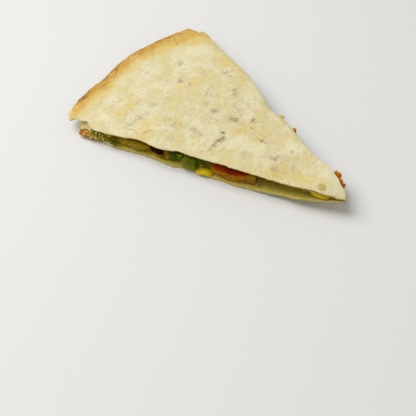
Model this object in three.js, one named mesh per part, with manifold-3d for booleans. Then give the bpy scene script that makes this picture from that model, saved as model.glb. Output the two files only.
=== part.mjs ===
// A wedge cut from a round quesadilla: two flour tortillas, toasted along the rim, with a
// filling of melted cheese and salsa between them and diced pepper, corn, tomato, beans and
// chicken showing at both cuts.
//
// Frame: millimetres, +Z up, +X towards the pointed tip, -Y out of the front cut. The origin
// is under the middle of the wedge, on the surface that it rests on.
import * as THREE from 'three';
import { mergeVertices } from 'three/addons/utils/BufferGeometryUtils.js';
import Module from 'manifold-3d';

const wasm = await Module();
wasm.setup();

const FRONT = -1;
const BACK = 1;

// Driving dimensions, in millimetres and radians.
const ROUND_RADIUS = 151.5; // half of a 12 inch tortilla
const HALF_ANGLE = THREE.MathUtils.degToRad(19.3); // half of the angle between the cuts
const RIM_OFFSET = 8.4; // the cuts cross beside the middle of the round by this much
const TIP_ROUNDING = 4.8; // radius of the blunt tip in plan
const TIP_ASIDE = { reach: 5, move: 1.3 }; // the very tip bends a little towards the back
const TORTILLA_THICKNESS = 1.6;
const CROWN_HEIGHT = 12.3; // top of the wedge over its thickest stretch
const TIP_FALL = 1.5; // how far the top drops at the tip
const TIP_FALL_RUN = 0.08; // share of the length over which it does
const RIM_FALL = 5.1; // how far the top drops at the rim
const RIM_FALL_START = 0.5;
const RIM_FALL_POWER = 1.3;
const TIP_LIFT = 7.2; // the lower tortilla curls up to meet the upper one at the tip
const TIP_LIFT_RUN = 0.36;
const TIP_LIFT_POWER = 1.45;
const RIM_CURL = 1.4; // the lower tortilla's toasted edge curls up
const RIM_CURL_START = 0.93;
const TOP_WAVES = { high: 0.35, first: [13, 2], second: [8, -3], start: 0.2 }; // gentle unevenness
const CORNER_SETBACK = 8; // the lower tortilla stops short of the upper at the front corner
const CORNER_REACH = 0.7; // how far across that shows, with half the width as 1
const GAP = 0.3; // clearance between touching pieces
const FILLING_GAP = 0.4; // clearance between the filling and the tortillas

// Raised and sunken places of the upper tortilla: distance from the tip, sideways place from
// -1 at the front cut to 1 at the back cut, reach and height.
const SWELLS = [
  { from: 13, across: -0.2, reach: 7, high: 1.4 },
  { from: 27, across: 0.1, reach: 9, high: -0.8 },
  { from: 58, across: -0.75, reach: 12, high: 0.4 },
  { from: 96, across: 0.5, reach: 14, high: 0.5 },
];

// The knife's wander along each cut: distance from the tip, reach, and how far outwards.
const CUT_WAVES = new Map([
  [FRONT, [
    { from: 6.5, reach: 7, out: -1.7 },
    { from: 27, reach: 19, out: -0.9 },
    { from: 84, reach: 5.5, out: -1.1 },
    { from: 94, reach: 5, out: 1.1 },
    { from: 109, reach: 7, out: -0.95 },
    { from: 148, reach: 9, out: -5.2 },
  ]],
  [BACK, [
    { from: 0, reach: 5, out: -1 },
    { from: 12.5, reach: 9, out: 2.2 },
    { from: 35, reach: 6, out: -0.5 },
    { from: 67, reach: 8.5, out: -2.4 },
    { from: 98, reach: 14, out: 1.4 },
    { from: 139, reach: 7, out: 1.0 },
  ]],
]);
const WAVE_FADE = 4; // power by which the waves fade inside the cuts
const LOWER_WAVES = 0.6; // the lower tortilla shows this share of them

// The filling's outline: its two ends as shares of the length, and how far it keeps back
// from the cuts where it is full and where it has fallen out near the tip.
const FILLING_START = 0.13;
const FILLING_END = 0.9;
const FULL_RECESS = 1.5;
const THIN_RECESS = 9;
const THIN_STRETCH = { from: 30, reach: 16 };

const ROOM_OVERRUN = 5; // how far past the cuts a piece may stand out

// Grid divisions: along the wedge, from cut to cut, and through the thickness.
const TORTILLA_GRID = [34, 10, 1];
const FILLING_GRID = [18, 7, 1];

const bell = (value, centre, reach) => Math.exp(-(((value - centre) / reach) ** 2));
const ramp = (value, start, end) => THREE.MathUtils.clamp((value - start) / (end - start), 0, 1);

/** Where a cut starts at the blunt tip, the way it runs, and the way it faces. */
function cutLine(side) {
  const turn = Math.PI / 2 - HALF_ANGLE;
  const start = new THREE.Vector2(
    TIP_ROUNDING * (Math.cos(turn) - 1),
    side * TIP_ROUNDING * Math.sin(turn),
  );
  const run = new THREE.Vector2(-Math.cos(HALF_ANGLE), side * Math.sin(HALF_ANGLE));
  const out = new THREE.Vector2(Math.sin(HALF_ANGLE), side * Math.cos(HALF_ANGLE));
  return { start, run, out };
}

/** The angle, about the round's middle, at which a cut meets the rim. */
function rimAngle(side) {
  const { start, run } = cutLine(side);
  const fromMiddle = new THREE.Vector2(start.x, start.y - RIM_OFFSET);
  const half = run.dot(fromMiddle);
  const length = -half + Math.sqrt(half * half - fromMiddle.lengthSq() + ROUND_RADIUS ** 2);
  const end = fromMiddle.addScaledVector(run, length);
  return Math.atan2(end.y, -end.x);
}

/** How far outwards the knife strayed at a distance from the tip. */
function cutWave(side, distance) {
  return CUT_WAVES.get(side).reduce((sum, wave) => sum + wave.out * bell(distance, wave.from, wave.reach), 0);
}

/**
 * A point of the wedge's plan. along runs from 0 at the tip to 1 at the rim, across from -1 at
 * the front cut to 1 at the back cut. setback shortens the radius, and waviness scales the
 * wander of the cuts.
 */
function planPoint(along, across, setback = 0, waviness = 1) {
  const tipTurn = across * (Math.PI / 2 - HALF_ANGLE);
  const rimTurn = THREE.MathUtils.lerp(rimAngle(FRONT), rimAngle(BACK), (across + 1) / 2);
  const radius = ROUND_RADIUS - setback;
  const tip = new THREE.Vector2(Math.cos(tipTurn) - 1, Math.sin(tipTurn)).multiplyScalar(TIP_ROUNDING);
  const rim = new THREE.Vector2(-radius * Math.cos(rimTurn), RIM_OFFSET + radius * Math.sin(rimTurn));
  const side = across < 0 ? FRONT : BACK;
  const wave = cutWave(side, along * ROUND_RADIUS) * Math.abs(across) ** WAVE_FADE;
  const point = tip.lerp(rim, along).addScaledVector(cutLine(side).out, waviness * wave);
  return point.setY(point.y + TIP_ASIDE.move * bell(along * ROUND_RADIUS, 0, TIP_ASIDE.reach));
}

/** The top of the upper tortilla. */
function crown(along, across) {
  const tipFall = TIP_FALL * Math.exp(-along / TIP_FALL_RUN);
  const rimFall = RIM_FALL * ramp(along, RIM_FALL_START, 1) ** RIM_FALL_POWER;
  const [first, second] = [TOP_WAVES.first, TOP_WAVES.second].map(
    ([lengthwise, crosswise]) => Math.sin(lengthwise * along + crosswise * across),
  );
  const waves = TOP_WAVES.high * first * second * ramp(along, 0, TOP_WAVES.start);
  const swells = SWELLS.reduce((sum, swell) => {
    const near = bell(along * ROUND_RADIUS, swell.from, swell.reach);
    return sum + swell.high * near * bell(across, swell.across, 1);
  }, 0);
  return CROWN_HEIGHT - tipFall - rimFall + waves + swells;
}

/** The underside of the lower tortilla: flat, curled up to the tip and along the rim. */
function underside(along) {
  const tipLift = TIP_LIFT * Math.max(0, 1 - along / TIP_LIFT_RUN) ** TIP_LIFT_POWER;
  return tipLift + RIM_CURL * ramp(along, RIM_CURL_START, 1) ** 2;
}

/** The ceiling and the floor of the space between the tortillas. */
const ceiling = (along, across) => crown(along, across) - TORTILLA_THICKNESS;
const floor = (along) => underside(along) + TORTILLA_THICKNESS;

/** A closed body from a divided box, with shape(x, y, z) placing each corner of the grid. */
function shapedBox([lengthwise, crosswise, upward], shape) {
  const box = new THREE.BoxGeometry(1, 1, 1, lengthwise, crosswise, upward);
  box.deleteAttribute('normal');
  box.deleteAttribute('uv');
  const body = mergeVertices(box);
  const place = body.getAttribute('position');
  for (let index = 0; index < place.count; index += 1) {
    const corner = shape(place.getX(index) + 0.5, place.getY(index) * 2, place.getZ(index) + 0.5);
    place.setXYZ(index, corner.x, corner.y, corner.z);
  }
  return body;
}

/** A layer of the wedge between two heights; along is turned so that its faces point out. */
function layer(grid, plan, low, high) {
  return shapedBox(grid, (back, across, up) => {
    const along = 1 - back;
    const point = plan(along, across);
    const height = THREE.MathUtils.lerp(low(along, across), high(along, across), up);
    return new THREE.Vector3(point.x, point.y, height);
  });
}

/** A closed mesh as a solid that can be joined and cut, and back again. */
function toSolid(geometry) {
  const vertProperties = Float32Array.from(geometry.getAttribute('position').array);
  const triVerts = Uint32Array.from(geometry.getIndex().array);
  return new wasm.Manifold(new wasm.Mesh({ numProp: 3, vertProperties, triVerts }));
}

function toGeometry(solid) {
  const { vertProperties, triVerts } = solid.getMesh();
  const geometry = new THREE.BufferGeometry();
  geometry.setAttribute('position', new THREE.BufferAttribute(vertProperties, 3));
  geometry.setIndex(new THREE.BufferAttribute(triVerts, 1));
  return geometry;
}

// Shapes of the diced pieces, each one unit long, wide and high before it is sized.
const PIECE_GRID = [4, 3, 3];
const BLOCK_ROUNDING = 6; // power of the rounded block: higher is squarer
const CHICKEN_THINNING = 0.3; // how much a strip of chicken thins away from its thick end
const CHICKEN_THICK_END = 0.4;
const CHICKEN_TWIST = 0.5; // radians from end to end
const CHICKEN_SLANT = 0.22; // how much its section leans

/** A block with rounded edges and a slight bow, as a dice of pepper or tomato flesh has. */
function dicedBlock(bow) {
  return shapedBox(PIECE_GRID, (x, y, z) => {
    const corner = new THREE.Vector3(x * 2 - 1, y, z * 2 - 1);
    const powers = corner.toArray().map((part) => Math.abs(part) ** BLOCK_ROUNDING);
    const spread = Math.max(powers[0] + powers[1] + powers[2], 1);
    corner.multiplyScalar(0.5 / spread ** (1 / BLOCK_ROUNDING));
    corner.z += bow * (0.25 - corner.x ** 2) - bow / 8;
    return corner;
  });
}

const KERNEL_SEGMENTS = [10, 6];
const KERNEL_NARROWING = 0.35; // how much narrower a kernel's root is than its crown
const BEAN_BEND = 0.35;

/** A ball with its seam and poles merged, reshaped point by point. */
function shapedBall(shape) {
  const ball = new THREE.SphereGeometry(0.5, ...KERNEL_SEGMENTS);
  ball.deleteAttribute('normal');
  ball.deleteAttribute('uv');
  const body = mergeVertices(ball);
  const place = body.getAttribute('position');
  for (let index = 0; index < place.count; index += 1) {
    const point = shape(new THREE.Vector3().fromBufferAttribute(place, index));
    place.setXYZ(index, point.x, point.y, point.z);
  }
  return body;
}

/** A corn kernel: plump at its crown, narrower at its root. */
function kernel() {
  return shapedBall((point) => {
    const narrow = 1 - KERNEL_NARROWING * (point.y + 0.5);
    return point.set(point.x * narrow, point.y, point.z * narrow);
  });
}

/** A bean: a ball bent along its length. */
function bean() {
  return shapedBall((point) => point.setY(point.y + BEAN_BEND * (point.x ** 2 - 0.125)));
}

/** A torn strip of chicken: a block that thins and twists along its length. */
function chickenStrip() {
  return shapedBox(PIECE_GRID, (x, y, z) => {
    const thin = 1 - CHICKEN_THINNING * Math.abs(x - CHICKEN_THICK_END);
    const twist = CHICKEN_TWIST * (x - 0.5);
    const side = (y / 2) * thin * (1 - CHICKEN_SLANT * z);
    const up = (z - 0.5) * thin * (1 - CHICKEN_SLANT * y);
    return new THREE.Vector3(
      x - 0.5,
      side * Math.cos(twist) - up * Math.sin(twist),
      side * Math.sin(twist) + up * Math.cos(twist),
    );
  });
}

const FOODS = {
  pepper: { form: () => dicedBlock(0.2), color: '#5f7d1c', roughness: 0.35 },
  tomato: { form: () => dicedBlock(0.3), color: '#a63c10', roughness: 0.3 },
  onion: { form: () => dicedBlock(0.5), color: '#c49a4a', roughness: 0.35 },
  corn: { form: kernel, color: '#e3ba1c', roughness: 0.3 },
  bean: { form: bean, color: '#2c1c12', roughness: 0.35 },
  chicken: { form: chickenStrip, color: '#c08a3c', roughness: 0.5 },
};

// The pieces at the cuts: side, distance from the tip, depth of the middle behind the cut,
// share of the free height at which it sits, length along the cut, depth and height, and turn.
const PIECES = [
  { name: 'chicken_1', side: FRONT, from: 102.5, depth: 4, level: 0.3, size: [11.5, 8, 6], turn: 0.1 },
  { name: 'bean_1', side: FRONT, from: 92.8, depth: 4.3, level: 0.5, size: [8.5, 6, 6], turn: -0.3 },
  { name: 'pepper_1', side: FRONT, from: 82.4, depth: 4.4, level: 0.45, size: [6.5, 7, 7.5], turn: 0.35 },
  { name: 'pepper_2', side: FRONT, from: 73.6, depth: 2.2, level: 0.2, size: [7, 6, 6.6], turn: -0.08 },
  { name: 'corn_1', side: FRONT, from: 65.6, depth: 2.2, level: 0, size: [8, 7, 3.8], turn: 0.15 },
  { name: 'pepper_3', side: FRONT, from: 66.5, depth: 6.6, level: 0.95, size: [8, 6, 5], turn: 0.1 },
  { name: 'tomato_1', side: FRONT, from: 52.6, depth: 4.2, level: 0.85, size: [19, 8, 5], turn: 0.05 },
  { name: 'chicken_2', side: FRONT, from: 52.5, depth: 3.6, level: 0.02, size: [11, 7, 4], turn: -0.05 },
  { name: 'onion_1', side: FRONT, from: 43, depth: 4.4, level: 0.3, size: [7, 6, 4.4], turn: 0.2 },
  { name: 'corn_2', side: FRONT, from: 8.6, depth: 2.6, level: 0.4, size: [9, 5, 2.8], turn: -0.1 },
  { name: 'bean_2', side: BACK, from: 118, depth: 4, level: 0.4, size: [9, 6, 5.4], turn: 0.2 },
  { name: 'pepper_4', side: BACK, from: 106, depth: 3.6, level: 0.4, size: [9, 6, 6.6], turn: 0.1 },
  { name: 'corn_3', side: BACK, from: 94.5, depth: 3.4, level: 0.3, size: [8.2, 7.4, 5.8], turn: -0.2 },
  { name: 'chicken_3', side: BACK, from: 82, depth: 4.6, level: 0.35, size: [12, 7.5, 6.4], turn: -0.1 },
  { name: 'tomato_2', side: BACK, from: 69, depth: 3.0, level: 0.5, size: [9, 8.4, 6.4], turn: 0.15 },
  { name: 'pepper_5', side: BACK, from: 57.5, depth: 3.4, level: 0.45, size: [8.4, 5.6, 7.6], turn: 0.05 },
  { name: 'bean_3', side: BACK, from: 47, depth: 4.2, level: 0.3, size: [8.8, 6, 5.8], turn: -0.25 },
  { name: 'corn_4', side: BACK, from: 36.5, depth: 3.8, level: 0.3, size: [8, 7, 5.6], turn: 0.2 },
  { name: 'tomato_3', side: BACK, from: 19, depth: 2.2, level: 0.5, size: [9.5, 6.4, 4.2], turn: 0.05 },
];

/** A piece's middle: behind its cut, between the tortillas. */
function pieceMiddle({ side, from, depth, level, size }) {
  const { start, run, out } = cutLine(side);
  const spot = start.clone().addScaledVector(run, from).addScaledVector(out, cutWave(side, from) - depth);
  const along = from / ROUND_RADIUS;
  const across = side * (1 - depth / (from * Math.tan(HALF_ANGLE) + TIP_ROUNDING));
  const low = floor(along) + GAP + size[2] / 2;
  const high = ceiling(along, across) - GAP - size[2] / 2;
  return new THREE.Vector3(spot.x, spot.y, THREE.MathUtils.lerp(low, high, level));
}

/** A piece's solid where it lies, grown on every side by grow. */
function placedPiece(piece, form, grow) {
  const along = Math.atan2(Math.sin(HALF_ANGLE) * piece.side, -Math.cos(HALF_ANGLE));
  const placement = new THREE.Matrix4().compose(
    pieceMiddle(piece),
    new THREE.Quaternion().setFromAxisAngle(new THREE.Vector3(0, 0, 1), along + piece.turn),
    new THREE.Vector3(...piece.size).addScalar(2 * grow),
  );
  return toSolid(form().applyMatrix4(placement));
}

/** The room that the pieces may take, run out past the cuts. */
function roomBetween() {
  const plan = (along, across) => {
    const out = cutLine(across < 0 ? FRONT : BACK).out;
    return planPoint(along, across).addScaledVector(out, ROOM_OVERRUN * Math.abs(across));
  };
  const low = (along) => floor(along) + GAP;
  const high = (along, across) => ceiling(along, across) - GAP;
  return toSolid(layer(TORTILLA_GRID, plan, low, high));
}

/** The filling, out to its uneven edge and before the pieces are set into it. */
function fillingMass() {
  const spot = (share) => THREE.MathUtils.lerp(FILLING_START, FILLING_END, share);
  const plan = (share, across) => {
    const along = spot(share);
    const thin = THIN_RECESS * bell(along * ROUND_RADIUS, THIN_STRETCH.from, THIN_STRETCH.reach);
    const recess = FULL_RECESS + (thin * (1 - across)) / 2;
    const out = cutLine(across < 0 ? FRONT : BACK).out;
    return planPoint(along, across).addScaledVector(out, -recess * Math.abs(across));
  };
  const low = (share) => floor(spot(share)) + FILLING_GAP;
  const high = (share, across) => ceiling(spot(share), across) - FILLING_GAP;
  return toSolid(layer(FILLING_GRID, plan, low, high));
}

const group = new THREE.Group();

/** Adds one sub-part as a named mesh with its own material. */
function addPart(name, geometry, color, roughness) {
  geometry.computeVertexNormals();
  const material = new THREE.MeshStandardMaterial({ color, roughness, metalness: 0 });
  const mesh = new THREE.Mesh(geometry, material);
  mesh.name = name;
  group.add(mesh);
}

/** The two tortillas. */
function addTortillas() {
  const upperPlan = (along, across) => planPoint(along, across);
  const lowerPlan = (along, across) => {
    const setback = CORNER_SETBACK * bell(across, FRONT, CORNER_REACH);
    return planPoint(along, across, setback, LOWER_WAVES);
  };
  addPart('top_tortilla', layer(TORTILLA_GRID, upperPlan, ceiling, crown), '#e6d9b0', 0.85);
  addPart('bottom_tortilla', layer(TORTILLA_GRID, lowerPlan, underside, floor), '#dfcfa0', 0.85);
}

/** The pieces, each kept inside the room and clear of those before it, then the filling. */
function addFilling() {
  const room = roomBetween();
  let filling = fillingMass();
  let taken = null;
  for (const piece of PIECES) {
    const { form, color, roughness } = FOODS[piece.name.split('_')[0]];
    const whole = placedPiece(piece, form, 0).intersect(room);
    const body = taken ? whole.subtract(taken) : whole;
    const grown = placedPiece(piece, form, GAP);
    taken = taken ? taken.add(grown) : grown;
    filling = filling.subtract(grown);
    addPart(piece.name, toGeometry(body), color, roughness);
  }
  addPart('filling', toGeometry(filling), '#b98f3a', 0.5);
}

addTortillas();
addFilling();

// Stand the wedge on its underside with the middle of its box over the origin.
const box = new THREE.Box3().setFromObject(group);
const middle = box.getCenter(new THREE.Vector3());
group.position.set(-middle.x, -middle.y, -box.min.z);

export default group;
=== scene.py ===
"""Looks of one wedge of quesadilla.

Two flour tortillas, toasted along the rim, hold a filling of melted cheese and salsa. Diced
pepper, corn, tomato, onion, beans and chicken show at both cuts.

Lengths are millimetres in the wedge's own frame, whose origin is at the pointed tip with +X
out of the tip, -Y out of the front cut and +Z up. Wedge.place turns them into metres in the
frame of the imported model.
"""

import logging
import math
from dataclasses import dataclass
from enum import Enum
from typing import Callable, ClassVar, Sequence

import bpy
import numpy as np
from mathutils import Matrix, Vector


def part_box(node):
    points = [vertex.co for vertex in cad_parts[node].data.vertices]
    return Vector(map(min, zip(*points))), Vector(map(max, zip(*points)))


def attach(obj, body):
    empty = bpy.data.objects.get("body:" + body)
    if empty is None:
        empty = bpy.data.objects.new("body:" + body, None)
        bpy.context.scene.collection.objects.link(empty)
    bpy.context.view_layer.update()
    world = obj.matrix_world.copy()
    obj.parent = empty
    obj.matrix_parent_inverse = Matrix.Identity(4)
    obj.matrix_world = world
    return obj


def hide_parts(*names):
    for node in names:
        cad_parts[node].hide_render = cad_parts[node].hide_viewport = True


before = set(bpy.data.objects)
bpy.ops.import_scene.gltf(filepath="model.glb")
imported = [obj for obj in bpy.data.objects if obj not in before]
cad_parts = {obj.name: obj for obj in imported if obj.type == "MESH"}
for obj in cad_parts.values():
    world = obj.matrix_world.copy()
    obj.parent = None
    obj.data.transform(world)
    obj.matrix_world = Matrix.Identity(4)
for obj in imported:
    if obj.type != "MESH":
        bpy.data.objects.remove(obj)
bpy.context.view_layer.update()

Array = np.ndarray
Triple = tuple[float, float, float]
Color = Triple
Piece = bpy.types.Object
Material = bpy.types.Material
Socket = bpy.types.NodeSocket
Value = Socket | float
Tint = Socket | Color
Layers = tuple[tuple[float, float | Triple], ...]

MM = 0.001
BODY = "root"
log = logging.getLogger("quesadilla")


# ---------------------------------------------------------------------------------------
# Curves and random fields
# ---------------------------------------------------------------------------------------


def bell(value: Array | float, centre: float, reach: float) -> Array:
    """Bell curve exp(-((value - centre) / reach)^2)."""
    return np.exp(-(((np.asarray(value, float) - centre) / reach) ** 2))


def ramp(value: Array | float, start: float, end: float) -> Array:
    """Straight rise from 0 at start to 1 at end, level outside them."""
    return np.clip((np.asarray(value, float) - start) / (end - start), 0.0, 1.0)


def ease(value: Array | float, start: float, end: float) -> Array:
    """S-shaped rise 3t^2 - 2t^3, where t is the straight rise from start to end."""
    t = ramp(value, start, end)
    return t * t * (3.0 - 2.0 * t)


def corner_value(cells: Array, seed: int) -> Array:
    """A fixed random number in -1..1 for each lattice corner.

    The whole numbers of a corner are multiplied by large odd numbers, combined by
    exclusive-or and stirred by shifts, so that the same corner always gets the same value.

    Args:
        cells: whole-number corners, shape (..., 3).
        seed: picks one of many unlike fields.

    Returns:
        One number for each corner.
    """
    mixed = cells.astype(np.int64).astype(np.uint64)
    state = (
        mixed[..., 0] * np.uint64(73856093)
        ^ mixed[..., 1] * np.uint64(19349663)
        ^ mixed[..., 2] * np.uint64(83492791)
        ^ np.uint64(seed * 2654435761 + 97)
    )
    state = (state ^ (state >> np.uint64(13))) * np.uint64(1274126177)
    state = (state ^ (state >> np.uint64(16))) & np.uint64(0xFFFF)
    return state.astype(float) / 32767.5 - 1.0


def lumps(points: Array, cell: float | Sequence[float], seed: int) -> Array:
    """Smooth random field in -1..1 whose lumps are about one cell wide.

    Each point takes the random values of the eight corners of its lattice cell, blended
    by the S-curve along each axis.

    Args:
        points: places in millimetres, shape (..., 3).
        cell: width of a lattice cell in millimetres, or three widths.
        seed: picks one of many unlike fields.

    Returns:
        One number for each point.
    """
    spread = points / np.asarray(cell, float)
    low = np.floor(spread)
    part = spread - low
    part = part * part * (3.0 - 2.0 * part)
    total = np.zeros(points.shape[:-1])
    for dx in (0, 1):
        for dy in (0, 1):
            for dz in (0, 1):
                corner = low + np.array([dx, dy, dz])
                weight = (
                    np.abs(1 - dx - part[..., 0])
                    * np.abs(1 - dy - part[..., 1])
                    * np.abs(1 - dz - part[..., 2])
                )
                total += weight * corner_value(corner, seed)
    return total


def layered(points: Array, cell: float, seed: int, octaves: int = 3) -> Array:
    """Sum of lumps fields, each half as wide and half as strong as the one before.

    Args:
        points: places in millimetres, shape (..., 3).
        cell: width of the widest lattice cell in millimetres.
        seed: picks one of many unlike fields.
        octaves: how many fields.

    Returns:
        One number in -1..1 for each point.
    """
    fields = [lumps(points, cell / 2**k, seed + k) / 2**k for k in range(octaves)]
    return sum(fields) / sum(1 / 2**k for k in range(octaves))


def roughness(points: Array, layers: Layers, seed: int) -> Array:
    """Sum of lumps fields of given strengths and cell widths.

    Args:
        points: places in millimetres, shape (..., 3).
        layers: strength and cell width of each field.
        seed: picks the first field; each further field takes the next seed.

    Returns:
        One number for each point.
    """
    return sum(size * lumps(points, cell, seed + k) for k, (size, cell) in enumerate(layers))


# ---------------------------------------------------------------------------------------
# Meshes
# ---------------------------------------------------------------------------------------


def make_piece(
    name: str, points: Array, faces: Array, masks: dict[str, Array] | None = None
) -> Piece:
    """Makes a smooth-shaded mesh object at the origin.

    Args:
        name: the piece's name.
        points: vertices in metres, shape (n, 3).
        faces: vertex numbers of the quads or triangles, shape (m, 4) or (m, 3).
        masks: named numbers on the vertices, which its finish reads.

    Returns:
        The new object.
    """
    mesh = bpy.data.meshes.new(name)
    mesh.from_pydata(points.reshape(-1, 3), [], faces)
    mesh.update(calc_edges=True)
    mesh.polygons.foreach_set("use_smooth", np.ones(len(mesh.polygons), bool))
    for label, values in (masks or {}).items():
        layer = mesh.attributes.new(label, "FLOAT", "POINT")
        layer.data.foreach_set("value", np.ascontiguousarray(values.ravel(), np.float32))
    piece = bpy.data.objects.new(name, mesh)
    bpy.context.scene.collection.objects.link(piece)
    return piece


def finish_piece(
    piece: Piece, material: Material, replaced: Sequence[str] = ()
) -> None:
    """Dresses a piece and ties it to the frame.

    Args:
        piece: the piece.
        material: its finish.
        replaced: CAD nodes that it stands for.
    """
    piece.data.materials.append(material)
    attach(piece, BODY)
    for node in replaced:
        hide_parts(node)
    piece.data.calc_loop_triangles()
    log.info("%s: %d triangles", piece.name, len(piece.data.loop_triangles))


def sheet_border(lengthwise: int, crosswise: int) -> tuple[Array, Array]:
    """Walks round a grid's border: the front cut, the rim, the back cut and the tip.

    Args:
        lengthwise: grid points from tip to rim.
        crosswise: grid points from cut to cut.

    Returns:
        Row and column numbers of the border's points.
    """
    rows = np.arange(lengthwise)
    columns = np.arange(crosswise)
    rim = np.full(crosswise - 1, lengthwise - 1)
    back = np.full(lengthwise - 1, crosswise - 1)
    row = np.concatenate([rows, rim, rows[-2::-1], np.zeros(crosswise - 2, int)])
    column = np.concatenate([np.zeros(lengthwise, int), columns[1:], back, columns[-2:0:-1]])
    return row, column


def outward(border: Array) -> Array:
    """Unit vectors in plan out of a closed border that runs clockwise seen from above.

    The chord between a point's neighbours is turned a quarter to the left.

    Args:
        border: points in their order round the border, shape (n, 3).

    Returns:
        One vector for each point, level in z.
    """
    chord = np.roll(border, -2, axis=0) - np.roll(border, 2, axis=0)
    out = np.stack([-chord[:, 1], chord[:, 0], np.zeros(len(chord))], axis=1)
    return out / np.maximum(np.linalg.norm(out, axis=1, keepdims=True), 1e-9)


def sealed_sheet(
    upper: Array, lower: Array, wall: Callable[[Array, Array], Array], rings: int
) -> tuple[Array, Array]:
    """Joins an upper and a lower grid by a wall round their border.

    Args:
        upper: grid of the upper surface, shape (lengthwise, crosswise, 3).
        lower: grid of the lower surface, of the same shape.
        wall: gives how far each wall point stands out, from its place between the two
            borders and its height share from 0 above to 1 below.
        rings: rows of faces in the wall.

    Returns:
        Vertices and quads of the closed body. The vertices are those of the upper grid, the
        lower grid and the wall's inner rows.
    """
    lengthwise, crosswise = upper.shape[:2]
    count = lengthwise * crosswise
    row, column = sheet_border(lengthwise, crosswise)
    top_edge, low_edge = upper[row, column], lower[row, column]
    share = (np.arange(1, rings) / rings)[:, None, None]
    between = top_edge * (1 - share) + low_edge * share
    out = outward(top_edge)
    push = wall(between, np.broadcast_to(share[..., 0], between.shape[:2]))
    between = between + out * push[..., None]

    corner = (np.arange(lengthwise - 1)[:, None] * crosswise + np.arange(crosswise - 1)).ravel()
    up = np.stack([corner, corner + 1, corner + crosswise + 1, corner + crosswise], axis=1)
    down = up[:, ::-1] + count

    ring = 2 * count + np.arange(rings - 1)[:, None] * len(row) + np.arange(len(row))
    edge = row * crosswise + column
    ring = np.concatenate([edge[None], ring, edge[None] + count])
    after = np.roll(ring, -1, axis=1)
    side = np.stack([ring[:-1], after[:-1], after[1:], ring[1:]], axis=-1).reshape(-1, 4)
    points = np.concatenate([upper.reshape(-1, 3), lower.reshape(-1, 3), between.reshape(-1, 3)])
    return points, np.concatenate([up, down, side])


def block_lattice(divisions: int) -> tuple[Array, Array]:
    """A cube's surface from -1 to 1 as a welded grid of quads that face outwards.

    Args:
        divisions: quads along an edge.

    Returns:
        Vertices and quads.
    """
    ticks = np.linspace(-1.0, 1.0, divisions + 1)
    a, b = np.meshgrid(ticks, ticks, indexing="ij")
    ones = np.ones_like(a)
    sides = [(ones, a, b), (-ones, b, a), (b, ones, a), (a, -ones, b), (a, b, ones), (b, a, -ones)]
    points = np.concatenate([np.stack(side, axis=-1).reshape(-1, 3) for side in sides])
    corner = (np.arange(divisions)[:, None] * (divisions + 1) + np.arange(divisions)).ravel()
    quad = np.stack([corner, corner + divisions + 1, corner + divisions + 2, corner + 1], axis=1)
    faces = np.concatenate([quad + k * (divisions + 1) ** 2 for k in range(6)])
    whole = np.round(points * divisions * 1000).astype(int)
    _, first, back = np.unique(whole, axis=0, return_index=True, return_inverse=True)
    return points[first], back.ravel()[faces]


def rounded(points: Array, power: float) -> Array:
    """Pulls a cube's points onto the rounded block |x|^p + |y|^p + |z|^p = 1."""
    spread = np.sum(np.abs(points) ** power, axis=-1, keepdims=True) ** (1.0 / power)
    return points / spread


def swollen(points: Array, amount: Array) -> Array:
    """Moves points away from the origin, each by its own amount in millimetres."""
    far = np.maximum(np.linalg.norm(points, axis=1, keepdims=True), 1e-6)
    return points + points / far * amount[:, None]


def turned(points: Array, angle: float) -> Array:
    """Turns points about +Z by an angle in radians."""
    c, s = math.cos(angle), math.sin(angle)
    return points @ np.array([[c, s, 0.0], [-s, c, 0.0], [0.0, 0.0, 1.0]])


def random_turns(count: int, rng: np.random.Generator) -> Array:
    """Random rotations, each from a quaternion of four normal numbers.

    Args:
        count: how many.
        rng: source of the random numbers.

    Returns:
        Matrices, shape (count, 3, 3).
    """
    q = rng.normal(size=(count, 4))
    w, x, y, z = (q / np.linalg.norm(q, axis=1, keepdims=True)).T
    rows = [
        [1 - 2 * (y * y + z * z), 2 * (x * y - z * w), 2 * (x * z + y * w)],
        [2 * (x * y + z * w), 1 - 2 * (x * x + z * z), 2 * (y * z - x * w)],
        [2 * (x * z - y * w), 2 * (y * z + x * w), 1 - 2 * (x * x + y * y)],
    ]
    return np.moveaxis(np.array(rows), -1, 0)


def tube(path: Array, radius: Array, sides: int = 7) -> tuple[Array, Array]:
    """A closed tube round a path, its ends drawn to a point.

    Each section is a circle square to the path's chord; the end radii should be near zero.

    Args:
        path: points of the middle line, shape (n, 3).
        radius: radius at each point.
        sides: corners of a section.

    Returns:
        Vertices and triangles, each end closed by a fan round the path's end point.
    """
    along = np.gradient(path, axis=0)
    along /= np.linalg.norm(along, axis=1, keepdims=True)
    side = np.cross(along, np.array([0.13, 0.31, 0.94]))
    side /= np.linalg.norm(side, axis=1, keepdims=True)
    over = np.cross(along, side)
    angle = np.linspace(0, 2 * math.pi, sides, endpoint=False)
    c, s = np.cos(angle)[:, None], np.sin(angle)[:, None]
    skin = path[:, None] + (c * side[:, None] + s * over[:, None]) * radius[:, None, None]
    index = np.arange(len(path))[:, None] * sides + np.arange(sides)
    after = np.roll(index, -1, axis=1)
    wall = np.stack([index[:-1], index[1:], after[1:], after[:-1]], axis=-1).reshape(-1, 4)
    points = skin.reshape(-1, 3)
    first, last = len(points), len(points) + 1
    head = np.stack([np.full(sides, first), index[0], after[0]], axis=1)
    tail = np.stack([np.full(sides, last), after[-1], index[-1]], axis=1)
    triangles = np.concatenate([wall[:, [0, 1, 2]], wall[:, [0, 2, 3]], head, tail])
    return np.concatenate([points, path[:1], path[-1:]]), triangles


# ---------------------------------------------------------------------------------------
# The form that every piece shares
# ---------------------------------------------------------------------------------------


class Side(Enum):
    """The two cuts; the value is the sign of their sideways direction."""

    FRONT = -1
    BACK = 1


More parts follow.
